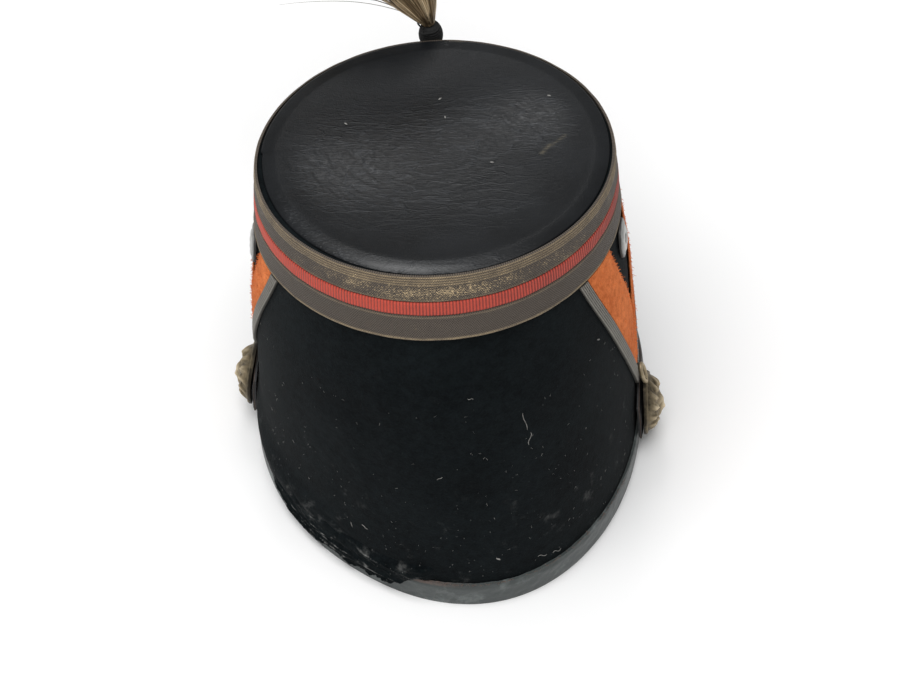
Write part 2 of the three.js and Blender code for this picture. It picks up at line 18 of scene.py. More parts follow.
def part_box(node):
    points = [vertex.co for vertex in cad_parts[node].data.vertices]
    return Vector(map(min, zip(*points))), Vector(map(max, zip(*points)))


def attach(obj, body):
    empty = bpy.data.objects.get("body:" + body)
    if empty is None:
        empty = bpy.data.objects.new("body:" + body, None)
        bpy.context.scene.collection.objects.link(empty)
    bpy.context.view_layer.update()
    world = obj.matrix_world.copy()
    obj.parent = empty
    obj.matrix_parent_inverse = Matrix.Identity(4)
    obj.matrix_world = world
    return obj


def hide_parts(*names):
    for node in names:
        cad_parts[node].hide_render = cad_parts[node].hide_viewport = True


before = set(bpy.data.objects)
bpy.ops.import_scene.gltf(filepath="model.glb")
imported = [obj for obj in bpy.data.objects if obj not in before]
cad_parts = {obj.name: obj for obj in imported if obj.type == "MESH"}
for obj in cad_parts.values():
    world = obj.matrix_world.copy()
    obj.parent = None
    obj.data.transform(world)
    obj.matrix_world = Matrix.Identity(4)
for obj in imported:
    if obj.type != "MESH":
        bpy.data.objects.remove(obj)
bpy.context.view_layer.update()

Array = np.ndarray
Colour = tuple[float, float, float]

MM = 0.001
GAP = 0.3
FELT_THICK = 2.5
LEATHER_THICK = 1.3
WEAR = "wear"
SHADE = "shade"
UP = np.array([0.0, 0.0, 1.0])

# The wall's rough radius and length turn degrees round it and shares down it into millimetres.
WALL_RADIUS = 95.0
WALL_LENGTH = 160.0

log = logging.getLogger("shako")


class Side(Enum):
    """The wearer's side that a fitting is on."""

    RIGHT = "right"
    LEFT = "left"

    def angle(self, back: float | Array) -> float | Array:
        """The angle round the hat for a place given as degrees back from this side."""
        return back if self is Side.LEFT else 180 - back

    @property
    def outward(self) -> float:
        """The sign of X on this side."""
        return 1.0 if self is Side.LEFT else -1.0


class Leg(Enum):
    """A chevron's rear or front leg, with the sign of its side of the chevron's axis."""

    REAR = 1
    FRONT = -1


def mix(first: float | Array, second: float | Array, share: float | Array) -> float | Array:
    """first at share 0, second at share 1, and a straight blend between them."""
    return first + (second - first) * share


def smoothstep(value: Array, start: float, end: float) -> Array:
    """0 below start, 1 above end, and 3t^2 - 2t^3 between them."""
    t = np.clip((value - start) / (end - start), 0, 1)
    return t * t * (3 - 2 * t)


def hump(distance: float | Array) -> Array:
    """A bell curve, exp(-distance^2): 1 in the middle and almost nothing at a distance of 2."""
    return np.exp(-(np.asarray(distance) ** 2))


def unit(vectors: Array) -> Array:
    """The same vectors at length 1."""
    return vectors / np.linalg.norm(vectors, axis=-1, keepdims=True)


def headings(angle: float | Array) -> Array:
    """Level ways straight off the hat's middle, (cos a, sin a, 0), for angles in degrees."""
    turn = np.radians(angle)
    return np.stack([np.cos(turn), np.sin(turn), 0 * turn], axis=-1)


def circle(steps: int) -> tuple[Array, Array]:
    """Cosines and sines of equal steps round a circle."""
    turn = 2 * math.pi * np.arange(steps) / steps
    return np.cos(turn), np.sin(turn)


def marked(points: Array, values: Array) -> Array:
    """Marks for rows x columns of points: the values on the first of them, and 0 on the rest."""
    rows, columns = points.shape[:2]
    return np.pad(values, ((0, rows - values.shape[0]), (0, columns - values.shape[1])))


@dataclass(frozen=True)
class Lumps:
    """Smooth random relief: its rise, the rough width of a lump along X, Y and Z, and a seed."""

    rise: float
    size: float | tuple[float, float, float]
    seed: int
    waves: int = 24

    def at(self, points: Array) -> Array:
        """Works out the relief: a sum of plane waves in random directions, about -rise to rise.

        Args:
            points: places of any shape, with three numbers last.

        Returns:
            One number for each point.
        """
        random = np.random.default_rng(self.seed)
        pushes = random.normal(size=(self.waves, 3)) / (2 * np.asarray(self.size))
        phases = random.uniform(0, 2 * math.pi, self.waves)
        total = np.zeros(points.shape[:-1])
        for push, phase in zip(pushes, phases):
            total += np.cos(2 * math.pi * (points @ push) + phase)
        return total * self.rise / math.sqrt(2 * self.waves)


@dataclass(frozen=True)
class Outline:
    """An edge of the hat seen from above: its middle, height, half-width and half-depth."""

    x: float
    y: float
    z: float
    half_width: float
    half_depth: float


@dataclass(frozen=True)
class Wall:
    """The felt's outer face, a tapering wall that every other piece is fitted to."""

    top: Outline = Outline(1.45, -0.1, 156.6, 72.8, 75.0)
    base: Outline = Outline(-5.0, 11.9, 10.6, 80.4, 104.6)
    back_rise: float = 0.1235
    left_fall: float = 0.0619
    squareness: float = 2.05
    waves: tuple[tuple[int, float, float], ...] = ((2, 2.35, -0.35), (3, 0.47, -0.82))
    flat_depth: float = 8.6
    flat_angle: float = 66.0
    flat_spread: float = 40.0
    swell_front: float = 0.45
    swell_back: float = 3.6
    swell_sides: float = -1.0
    tuck_depth: float = 1.5
    tuck_whole: float = 0.2
    tuck_none: float = 0.43

    def top_height(self, x: Array, y: Array) -> Array:
        """Height of the sloping plane that the top edge lies on."""
        return self.top.z + self.back_rise * (y - self.top.y) - self.left_fall * (x - self.top.x)

    def point(
        self, angle: Array, drop: Array, out: Array = 0.0, height: Array | None = None
    ) -> Array:
        """Places on the wall.

        The wall is a straight blend from the top ellipse to the base's squarer one. It is pushed
        out by a swelling halfway down and by waves that grow downwards, and pulled in where the
        lace holds it and where the old felt has gone flat.

        Args:
            angle: degrees round the hat, from the wearer's left towards the back.
            drop: 0 at the top edge to 1 at the felt's lower edge.
            out: how far out from the wall, in millimetres.
            height: the height to use instead of the wall's own.

        Returns:
            The places, with X, Y and Z last.
        """
        angle, drop, out = np.broadcast_arrays(
            np.asarray(angle, float), np.asarray(drop, float), np.asarray(out, float)
        )
        turn = np.radians(angle)
        c, s = np.cos(turn), np.sin(turn)
        share = np.minimum(drop, 1)
        power = 2 / self.squareness
        off = (angle - self.flat_angle + 900) % 360 - 180
        sag = -self.flat_depth * hump(off / self.flat_spread)
        for turns, cosine, sine in self.waves:
            sag = sag + cosine * np.cos(turns * turn) + sine * np.sin(turns * turn)
        swell = mix(self.swell_front, self.swell_back, (1 + s) / 2) + self.swell_sides * c * c
        tuck = self.tuck_depth * (1 - smoothstep(share, self.tuck_whole, self.tuck_none))
        grow = swell * 4 * share * (1 - share) - tuck + out + sag * share
        top_x = self.top.x + self.top.half_width * c
        top_y = self.top.y + self.top.half_depth * s
        base_x = self.base.x + self.base.half_width * np.sign(c) * np.abs(c) ** power
        base_y = self.base.y + self.base.half_depth * np.sign(s) * np.abs(s) ** power
        if height is None:
            height = mix(self.top_height(top_x + out * c, top_y + out * s), self.base.z, share)
        x = mix(top_x, base_x, share) + grow * c
        y = mix(top_y, base_y, share) + grow * s
        return np.stack(np.broadcast_arrays(x, y, height), axis=-1)

    def length(self, angle: Array) -> Array:
        """Length of the wall from the top edge to the felt's lower edge."""
        return np.linalg.norm(self.point(angle, 0.0) - self.point(angle, 1.0), axis=-1)

    def drop_for(self, angle: Array, length: Array) -> Array:
        """The drop that lies a length down the wall."""
        return length / self.length(angle)

    def at_height(self, angle: Array, height: Array, out: Array) -> Array:
        """Places on the wall at a height, straight down below the felt's lower edge.

        Args:
            angle: degrees round the hat.
            height: height over the floor.
            out: how far out from the wall.

        Returns:
            The places, with X, Y and Z last.
        """
        top = self.point(angle, 0.0)[..., 2]
        drop = np.minimum((top - height) / (top - self.base.z), 1)
        places = self.point(angle, drop, out)
        places[..., 2] = np.where(height < self.base.z, height, places[..., 2])
        return places


WALL = Wall()


def frame_shift() -> Array:
    """Finds the way from the hat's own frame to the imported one, by the base band's widest ring.

    Returns:
        The shift along X, Y and Z.
    """
    low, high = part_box("base_band")
    angles = np.linspace(0, 360, 64, endpoint=False)
    ring = WALL.point(angles, 1.0, GAP + LEATHER_THICK + BaseBand.flare, BaseBand.lip)
    packed = (np.array(low) + np.array(high)) / 2 / MM
    own = (ring.min(axis=0) + ring.max(axis=0)) / 2
    return np.array([packed[0] - own[0], packed[1] - own[1], 0.0])


class Shape:
    """Gathers grids of points into one closed mesh, with a UV map and marks for its material."""

    def __init__(self) -> None:
        """Starts with nothing in it."""
        self._points: list[Array] = []
        self._corners: list[Array] = []
        self._uvs: list[Array] = []
        self._sizes: list[Array] = []
        self._marks: dict[str, list[Array]] = {WEAR: [], SHADE: []}
        self._count = 0

    def add(
        self,
        points: Array,
        along: Array | None = None,
        across: Array | None = None,
        rows_joined: bool = False,
        wear: Array | float = 0.0,
        shade: Array | float = 0.0,
    ) -> "Shape":
        """Adds one or many grids whose columns close on themselves.

        Rows that don't join are closed by a fan at the first and at the last one.

        Args:
            points: ... x rows x columns x 3, in millimetres in the hat's own frame.
            along: UV distance for each column, with one more at the end for the join.
            across: UV distance for each row, with one more at the end if the rows join.
            rows_joined: whether the last row meets the first, as in a ring.
            wear: how worn the surface is at each point, 0 to 1; on the braid it holds the ribs'
                profile, which the braid's finish turns into painted shade in the grooves.
            shade: a number for each point that the finish may use.

        Returns:
            This shape.
        """
        rows, columns = points.shape[-3:-1]
        patches = points.reshape(-1, rows, columns, 3)
        number = len(patches)
        along = np.arange(columns + 1.0) if along is None else along
        across = np.arange(rows + 1.0) if across is None else across
        flat = patches.reshape(number, -1, 3)
        groups = self._faces(rows, columns, rows_joined, along, across)
        if not rows_joined:
            flat = np.concatenate([flat, patches[:, [0, -1]].mean(axis=2)], axis=1)
        each = flat.shape[1]
        offsets = (self._count + np.arange(number) * each)[:, None, None]
        way = -1 if self._volume(flat[0], [faces for faces, _ in groups]) < 0 else 1
        for faces, uvs in groups:
            self._corners.append((faces[:, ::way] + offsets).ravel())
            self._uvs.append(np.tile(uvs[:, ::way].reshape(-1, 2), (number, 1)))
            self._sizes.append(np.full(len(faces) * number, faces.shape[1]))
        self._points.append(flat.reshape(-1, 3))
        for key, value in ((WEAR, wear), (SHADE, shade)):
            marks = np.broadcast_to(value, patches.shape[:3]).reshape(number, -1)
            if not rows_joined:
                marks = np.concatenate([marks, marks[:, [0, (rows - 1) * columns]]], axis=1)
            self._marks[key].append(marks.ravel())
        self._count += number * each
        return self

    @staticmethod
    def _faces(
        rows: int, columns: int, rows_joined: bool, along: Array, across: Array
    ) -> list[tuple[Array, Array]]:
        """Joins each point of a grid to the next ones along and down, and its ends to a middle.

        Args:
            rows: the grid's rows.
            columns: its columns.
            rows_joined: whether the last row meets the first, so that there are no ends.
            along: UV distance for each column.
            across: UV distance for each row.

        Returns:
            The four-cornered and the three-cornered faces: the point numbers of their corners,
            where two middle points follow the grid's own, and the UV places of their corners.
        """
        row = np.arange(rows if rows_joined else rows - 1)
        row, column = (a.ravel() for a in np.meshgrid(row, np.arange(columns), indexing="ij"))
        steps = ((0, 0), (0, 1), (1, 1), (1, 0))
        faces = [(row + i) % rows * columns + (column + j) % columns for i, j in steps]
        uvs = [np.stack([along[column + j], across[row + i]], -1) for i, j in steps]
        sides = np.stack(faces, axis=-1), np.stack(uvs, axis=1)
        if rows_joined:
            return [sides]
        here = np.arange(columns)
        beside = (here + 1) % columns
        last, middle = (rows - 1) * columns, np.full(columns, rows * columns)
        first_fan = np.stack([middle, beside, here], -1)
        last_fan = np.stack([middle + 1, last + here, last + beside], -1)
        level = np.repeat([across[0], across[rows - 1]], columns)
        fan_uvs = np.stack([np.tile(along[:columns], 2), level], -1)
        ends = np.concatenate([first_fan, last_fan]), np.repeat(fan_uvs[:, None], 3, axis=1)
        return [sides, ends]

    @staticmethod
    def _volume(points: Array, groups: list[Array]) -> float:
        """Measures the inside: the sum of a . (b x c) over the triangles a, b, c of the faces.

        Args:
            points: the grid's points.
            groups: faces as point numbers, each group with its own number of corners.

        Returns:
            Six times the volume, below 0 where the faces point inwards.
        """
        triangles = np.concatenate([
            faces[:, [0, i, i + 1]] for faces in groups for i in range(1, faces.shape[1] - 1)
        ])
        a, b, c = (points[triangles[:, i]] - points.mean(axis=0) for i in range(3))
        return float((a * np.cross(b, c)).sum())

    def piece(self, name: str, crease: float = 180.0) -> bpy.types.Object:
        """Makes the object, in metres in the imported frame.

        Args:
            name: the object's name.
            crease: the angle in degrees past which an edge is drawn sharp.

        Returns:
            The new object, at the origin, with its place in its mesh.
        """
        corners = np.concatenate(self._corners)
        sizes = np.concatenate(self._sizes)
        mesh = bpy.data.meshes.new(name)
        mesh.vertices.add(self._count)
        places = (np.concatenate(self._points) + SHIFT) * MM
        mesh.vertices.foreach_set("co", places.ravel())
        mesh.loops.add(len(corners))
        mesh.loops.foreach_set("vertex_index", corners)
        mesh.polygons.add(len(sizes))
        mesh.polygons.foreach_set("loop_start", np.concatenate([[0], np.cumsum(sizes)[:-1]]))
        mesh.uv_layers.new(name="surface")
        mesh.uv_layers[0].data.foreach_set("uv", np.concatenate(self._uvs).ravel())
        for key, values in self._marks.items():
            layer = mesh.attributes.new(key, "FLOAT", "POINT")
            layer.data.foreach_set("value", np.concatenate(values))
        mesh.update(calc_edges=True)
        mesh.validate()
        mesh.shade_smooth()
        if crease < 180:
            mesh.set_sharp_from_angle(angle=math.radians(crease))
        made = bpy.data.objects.new(name, mesh)
        bpy.context.scene.collection.objects.link(made)
        return made


def tubes(paths: Array, radii: Array, sides: int = 3, level: Array | None = None) -> Array:
    """Rings of points round paths: each point + radius * (cos a * across + sin a * over).

    Args:
        paths: ... x rows x 3 points along each path.
        radii: ... x rows radii.
        sides: points in each ring.
        level: a direction that no part of a path runs along; worked out if it is left out.

    Returns:
        ... x rows x sides x 3 points.
    """
    tangent = unit(np.gradient(paths, axis=-2))
    if level is None:
        overall = np.abs(paths[..., -1, :] - paths[..., 0, :])
        level = np.eye(3)[np.argmin(overall, axis=-1)][..., None, :]
    across = unit(np.cross(tangent, level))
    over = np.cross(across, tangent)
    cosines, sines = circle(sides)
    ring = cosines[:, None] * across[..., None, :] + sines[:, None] * over[..., None, :]
    return paths[..., None, :] + radii[..., None, None] * ring


def turned_profile(profile: Array, steps: int) -> Array:
    """Carries a profile round its axis: radius * cos a, radius * sin a and height.

    Args:
        profile: rows of radius and height.
        steps: points in each ring.

    Returns:
        rows x steps x 3 places.
    """
    cosines, sines = circle(steps)
    radius, height = profile[:, :1], profile[:, 1:]
    return np.stack(np.broadcast_arrays(radius * cosines, radius * sines, height), -1)


def resampled(corners: Array, counts: tuple[int, ...]) -> Array:
    """Points along a closed section: each side from one corner to the next, cut into equal parts.

    Args:
        corners: sections x corners x 3 places.
        counts: how many parts each side is cut into.

    Returns:
        sections x points x 3 places.
    """
    sides = []
    for index, count in enumerate(counts):
        start, end = corners[:, index], corners[:, (index + 1) % len(counts)]
        share = (np.arange(count) / count)[None, :, None]
        sides.append(mix(start[:, None], end[:, None], share))
    return np.concatenate(sides, axis=1)


@dataclass(frozen=True)
class Term:
    """A shader socket that Python's operators can be used on."""

    shader: "Shader"
    socket: bpy.types.NodeSocket

    def _joined(self, operation: str, first: "Term | float", second: "Term | float") -> "Term":
        """Adds one Math node, or Vector Math where the socket holds a vector."""
        kind = "ShaderNodeVectorMath" if self.socket.type == "VECTOR" else "ShaderNodeMath"
        return self.shader.node(kind, {"operation": operation}, {0: first, 1: second})

    def __add__(self, other: "Term | float") -> "Term":
        """self + other."""
        return self._joined("ADD", self, other)

    def __radd__(self, other: float) -> "Term":
        """other + self."""
        return self._joined("ADD", other, self)

    def __sub__(self, other: "Term | float") -> "Term":
        """self - other."""
        return self._joined("SUBTRACT", self, other)

    def __rsub__(self, other: float) -> "Term":
        """other - self."""
        return self._joined("SUBTRACT", other, self)

    def __mul__(self, other: "Term | float") -> "Term":
        """self * other."""
        return self._joined("MULTIPLY", self, other)

    def __rmul__(self, other: float) -> "Term":
        """other * self."""
        return self._joined("MULTIPLY", other, self)

    def sine(self) -> "Term":
        """The sine of a value, between 0 and 1 instead of -1 and 1."""
        wave = self.shader.node("ShaderNodeMath", {"operation": "SINE"}, {0: self})
        return wave * 0.5 + 0.5

    def ridged(self) -> "Term":
        """1 where a value is one half, falling to 0 at 0 and at 1: noise turned into thin lines."""
        away = self.shader.node("ShaderNodeMath", {"operation": "ABSOLUTE"}, {0: self * 2 - 1})
        return 1 - away

    def between(self, low: float, high: float) -> "Term":
        """Turns the value into a smooth rise between two others, or a fall where low > high.

        Args:
            low: where the result is 0.
            high: where it is 1.

        Returns:
            The result, which stays 0 and 1 past them.
        """
        rising = low < high
        words = {1: min(low, high), 2: max(low, high), 3: float(not rising), 4: float(rising)}
        settings = {"interpolation_type": "SMOOTHSTEP"}
        return self.shader.node("ShaderNodeMapRange", settings, {0: self, **words})

    def part(self, axis: int) -> "Term":
        """One number of a vector: 0, 1 or 2 for X, Y or Z."""
        return self.shader.node("ShaderNodeSeparateXYZ", {}, {0: self}, axis)


class Shader:
    """A node material, built up from expressions on its sockets."""

    def __init__(self, name: str) -> None:
        """Makes an empty material.

        Args:
            name: the material's name.
        """
        self.material = bpy.data.materials.new(name)
        self.material.use_nodes = True
        self.tree = self.material.node_tree
        self.tree.nodes.clear()

    def node(
        self, kind: str, settings: dict | None = None, inputs: dict | None = None, output: int = 0
    ) -> Term | None:
        """Adds a node: its settings first, then its sockets' values and links.

        Args:
            kind: the node's type.
            settings: what is set on the node itself; "stops" are a colour ramp's.
            inputs: socket number or name to a value or another socket.
            output: which of its outputs is handed back.

        Returns:
            The output socket, or nothing from a node that has none.
        """
        made = self.tree.nodes.new(kind)
        for name, value in (settings or {}).items():
            if name == "stops":
                self._set_stops(made.color_ramp, value)
            else:
                setattr(made, name, value)
        for key, value in (inputs or {}).items():
            self._feed(made.inputs[key], value)
        return Term(self, made.outputs[output]) if made.outputs else None

    def _feed(self, socket: bpy.types.NodeSocket, value: "Term | float | tuple") -> None:
        """Links a term to a socket, or sets its value.

        Args:
            socket: a node's input.
            value: another node's output, a number, a vector or a colour.
        """
        if isinstance(value, Term):
            self.tree.links.new(value.socket, socket)
        elif socket.type == "RGBA":
            socket.default_value = (*value, 1.0)
        elif socket.type == "VECTOR" and isinstance(value, (int, float)):
            socket.default_value = (value, value, value)
        else:
            socket.default_value = value

    @staticmethod
    def _set_stops(ramp: bpy.types.ColorRamp, stops: list[tuple[float, Colour]]) -> None:
        """Gives a colour ramp its places and colours.

        Args:
            ramp: the ramp of a new node.
            stops: places and their colours, in rising order.
        """
        while len(ramp.elements) < len(stops):
            ramp.elements.new(0.5)
        for element, (place, colour) in zip(ramp.elements, stops):
            element.position = place
            element.color = (*colour, 1.0)

    def place(self) -> Term:
        """Where the surface is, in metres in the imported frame."""
        return self.node("ShaderNodeTexCoord", output=3)

    def surface(self) -> Term:
        """The piece's own UV map: millimetres along and across it."""
        return self.node("ShaderNodeTexCoord", output=2)

    def drawn(self, place: Term, stretch: tuple[float, float, float]) -> Term:
        """Places scaled along X, Y and Z, so that a scale below 1 draws a pattern out."""
        return self.node("ShaderNodeMapping", {}, {"Vector": place, "Scale": stretch})

    def mark(self, name: str) -> Term:
        """A number kept at each point of the mesh."""
        return self.node("ShaderNodeAttribute", {"attribute_name": name}, output=2)

    def noise(self, place: Term, size: float, detail: float = 3.0, rough: float = 0.55) -> Term:
        """Smooth noise from 0 to 1 with lumps of a size in the place's own unit."""
        words = {"Vector": place, "Scale": 1 / size, "Detail": detail, "Roughness": rough}
        return self.node("ShaderNodeTexNoise", {}, words)

    def cells(self, place: Term, size: float) -> Term:
        """Distance to the nearest of many scattered points, in the share of a cell's width."""
        return self.node("ShaderNodeTexVoronoi", {}, {"Vector": place, "Scale": 1 / size})

    def ramp(self, value: Term, *stops: tuple[float, Colour]) -> Term:
        """Colour picked by a value from stops given in rising order."""
        return self.node("ShaderNodeValToRGB", {"stops": list(stops)}, {0: value})

    def blend(self, share: Term | float, first: Term | Colour, second: Term | Colour) -> Term:
        """A colour between two others."""
        words = {0: share, 6: first, 7: second}
        return self.node("ShaderNodeMix", {"data_type": "RGBA"}, words, 2)

    def bump(self, height: Term, depth: float, strength: float = 1.0) -> Term:
        """A normal from a height of 0 to 1 that stands for a depth in millimetres."""
        words = {"Height": height, "Distance": depth * MM, "Strength": strength}
        return self.node("ShaderNodeBump", {}, words)

    def finish(self, **sockets: "Term | float | Colour") -> bpy.types.Material:
        """Ends the material in one shader.

        Args:
            sockets: the shader's inputs, named with _ for a space.

        Returns:
            The material.
        """
        words = {name.replace("_", " "): value for name, value in sockets.items()}
        surface = self.node("ShaderNodeBsdfPrincipled", {}, words)
        self.node("ShaderNodeOutputMaterial", {}, {0: surface})
        return self.material


@dataclass(frozen=True)
class WoolFelt:
    """Old wool felt: short nap, lint, and dust that has settled towards its lower edge."""

    name: str
    deep: Colour
    lit: Colour
    dust: Colour
    dusty: float = 1.0
    nap: float = 0.9
    bloom_and_sheen: float = 0.02

    def material(self) -> bpy.types.Material:
        """Makes the material.

        Returns:
            The material.
        """
        s = Shader(self.name)
        place = s.place()
        nap = s.noise(place, self.nap * MM, 4.0, 0.7)
        tufts = s.noise(place, 3.4 * MM, 4.0, 0.65)
        patches = s.noise(place, 34 * MM, 4.0, 0.6)
        tone = nap * 0.35 + tufts * 0.35 + patches * 0.3
        colour = s.ramp(tone, (0.4, self.deep), (0.62, self.lit))
        low = place.part(2).between(0.085, 0.012)
        worn = s.mark(WEAR)
        film = s.noise(place, 9 * MM, 5.0, 0.65).between(0.5, 0.78) * (low * 0.5 + 0.2)
        specks = s.noise(place, 1.5 * MM, 2.0, 0.5).between(0.7, 0.79)
        settled = (film * 0.75 + specks * (low * 0.6 + 0.25) + worn * nap) * self.dusty
        colour = s.blend(settled.between(0.05, 1.6), colour, self.dust)
        fibres = nap * 0.6 + tufts * 0.4
        return s.finish(
            Base_Color=colour, Roughness=0.95, Normal=s.bump(fibres, 0.45), Sheen_Weight=self.bloom_and_sheen,
            Sheen_Roughness=0.6, Specular_IOR_Level=0.06,
        )


@dataclass(frozen=True)
class WaxedLeather:
    """Waxed black leather, satin, crumpled along one way, scuffed where it is worn, with painted
    sheen: crease lines drawn lighter, and more coat in a band and along part of the rim.
    """

    name: str
    colour: Colour = (0.0035, 0.0042, 0.005)
    # A bluish wax bloom in random patches, and also the painted sheen that the crease lines are
    # drawn in.
    bloom_and_sheen: Colour = (0.042, 0.047, 0.055)
    scuff: Colour = (0.2, 0.17, 0.11)
    stretch: tuple[float, float, float] = (0.27, 1.0, 1.0)

    def material(self) -> bpy.types.Material:
        """Makes the material.

        Returns:
            The material.
        """
        s = Shader(self.name)
        place = s.place()
        drawn = s.drawn(place, self.stretch)
        creases = s.noise(drawn, 5.2 * MM, 3.0, 0.5).ridged().between(0.91, 0.99)
        fine = s.noise(drawn, 2.4 * MM, 3.0, 0.5).ridged().between(0.86, 0.99)
        pores = s.noise(place, 0.6 * MM, 3.0, 0.6)
        patches = s.noise(place, 26 * MM, 4.0, 0.6)
        # The shade mark holds how crumpled the leather is together with a painted rim highlight;
        # the finish paints its sheen band where the mark is high.
        folded = s.mark(SHADE)
        lines = (creases * 0.75 + fine * 0.25) * folded.between(0, 0.7)
        colour = s.blend(patches.between(0.3, 0.7) * 0.1, self.colour, self.bloom_and_sheen)
        # Painted sheen: the crease lines are drawn lighter in the bloom colour.
        colour = s.blend(lines * (pores * 0.45 + 0.1), colour, self.bloom_and_sheen)
        rubbed = s.mark(WEAR) * (pores + fine * 0.5).between(0.4, 0.75)
        colour = s.blend(rubbed, colour, self.scuff)
        roughness = 0.26 + patches * 0.14 + pores * 0.08 + s.mark(WEAR) * 0.2
        relief = lines * 0.85 + pores * 0.13 + fine * 0.02
        # More coat where the shade mark is high paints the sheen band and the rim highlight.
        return s.finish(
            Base_Color=colour, Roughness=roughness, Normal=s.bump(relief, 0.65, 1.0),
            Coat_Weight=folded.between(0.0, 1.2), Coat_Roughness=0.3, Specular_IOR_Level=0.23,
        )


@dataclass(frozen=True)
class WornLeather:
    """Grey-black leather rubbed pale and brown along its edges."""

    name: str
    colour: Colour = (0.044, 0.053, 0.052)
    rubbed: Colour = (0.22, 0.245, 0.24)
    bare: Colour = (0.13, 0.09, 0.075)
    gloss: float = 0.3

    def material(self) -> bpy.types.Material:
        """Makes the material.

        Returns:
            The material.
        """
        s = Shader(self.name)
        place = s.place()
        wear = s.mark(WEAR)
        patches = s.noise(place, 15 * MM, 6.0, 0.65)
        crackle = s.cells(place, 2.1 * MM)
        pores = s.noise(place, 0.8 * MM, 3.0, 0.6)
        rubs = patches.between(0.5, 0.7) * (0.35 + pores * 0.5)
        colour = s.blend(rubs, self.colour, self.rubbed)
        frayed = wear * (0.2 + patches * 0.7 + pores * 0.5)
        colour = s.blend(frayed.between(0.45, 0.85), colour, self.bare)
        roughness = self.gloss + patches * 0.22 + wear * 0.25
        relief = crackle * 0.35 + pores * 0.4 + patches * 0.25
        return s.finish(
            Base_Color=colour, Roughness=roughness, Normal=s.bump(relief, 0.3, 0.7),
            Specular_IOR_Level=0.5,
        )


@dataclass(frozen=True)
class MetalLace:
    """Lace of tarnished gilt thread: a twill along the band, rubbed back to gold in places."""

    name: str
    tarnish: Colour = (0.105, 0.085, 0.068)
    shadow: Colour = (0.034, 0.028, 0.023)
    gold: Colour = (0.66, 0.5, 0.29)
    pitch: float = 0.95
    stretch: tuple[float, float, float] = (0.6, 1.5, 1.0)

    def material(self) -> bpy.types.Material:
        """Makes the material.

        Returns:
            The material.
        """
        s = Shader(self.name)
        surface = s.surface()
        along, across = surface.part(0), surface.part(1)
        turn = 2 * math.pi / self.pitch
        woven = s.noise(s.place(), 4 * MM, 2.0, 0.5) * 1.6
        warp = (along * turn + woven).sine() * 2 - 1
        weft = (across * (turn * 0.8) + woven).sine() * 2 - 1
        weave = warp * weft * 0.5 + 0.5
        patches = s.noise(s.place(), 11 * MM, 5.0, 0.65)
        drawn = s.drawn(surface, self.stretch)
        threads = s.noise(drawn, 0.6, 1.0, 0.5)
        worn = s.mark(WEAR)
        colour = s.blend(weave.between(0.15, 0.6), self.shadow, self.tarnish)
        colour = s.blend(patches.between(0.5, 0.8) * worn * 0.3, colour, self.gold)
        cords = s.mark(SHADE) * (patches * 0.8 + threads * 0.5).between(0.3, 0.8)
        bright = patches * 0.55 + threads * 0.85 + weave * 0.1 + worn * 0.26
        bright = bright.between(0.98, 1.2) + cords * 0.7
        colour = s.blend(bright * 0.85, colour, self.gold)
        relief = weave * 0.8 + threads * 0.2
        return s.finish(
            Base_Color=colour, Roughness=0.66 - bright * 0.2, Metallic=0.15 + bright * 0.3,
            Normal=s.bump(relief, 0.3), Specular_IOR_Level=0.4,
        )


@dataclass(frozen=True)
class RibbedRibbon:
    """Red ribbed ribbon, with painted shade between its ribs, and faded in patches."""

    name: str
    red: Colour = (0.56, 0.07, 0.04)
    # The painted shade between the ribs; the random threads and faded patches also lean towards it.
    dull: Colour = (0.17, 0.024, 0.018)
    pitch: float = 1.3

    def material(self) -> bpy.types.Material:
        """Makes the material.

        Returns:
            The material.
        """
        s = Shader(self.name)
        ribs = s.surface().part(0) * (2 * math.pi / self.pitch)
        threads = s.noise(s.place(), 0.6 * MM, 3.0, 0.6)
        patches = s.noise(s.place(), 14 * MM, 4.0, 0.6)
        # Painted shade across the ribs, with random threads and faded patches.
        lit = ribs.sine() * 0.5 + threads * 0.3 + patches * 0.35
        colour = s.ramp(lit, (0.3, self.dull), (0.74, self.red))
        return s.finish(
            Base_Color=colour, Roughness=0.8, Normal=s.bump(threads, 0.15), Sheen_Weight=0.1,
        )


@dataclass(frozen=True)
class RibbedBraid:
    """Grey braid with lengthwise ribs, painted shade in the grooves between them, and a slight dull
    shine.
    """

    name: str
    grey: Colour = (0.25, 0.236, 0.208)
    # The painted shade in the grooves between the ribs.
    groove: Colour = (0.045, 0.042, 0.036)
    pitch: float = 0.9

    def material(self) -> bpy.types.Material:
        """Makes the material.

        Returns:
            The material.
        """
        s = Shader(self.name)
        along = s.surface().part(1)
        threads = (along * (2 * math.pi / self.pitch)).sine()
        fuzz = s.noise(s.place(), 0.7 * MM, 3.0, 0.6)
        patches = s.noise(s.place(), 12 * MM, 4.0, 0.6)
        # The wear mark holds the ribs' profile here, so the grooves between them are painted dark
        # as shade.
        ribs = s.mark(WEAR)
        colour = s.ramp(
            ribs * 0.5 + threads * 0.15 + fuzz * 0.2 + patches * 0.25,
            (0.25, self.groove), (0.8, self.grey),
        )
        return s.finish(
            Base_Color=colour, Roughness=0.62, Metallic=0.2,
            Normal=s.bump(threads * 0.6 + fuzz * 0.4, 0.2), Specular_IOR_Level=0.35,
        )


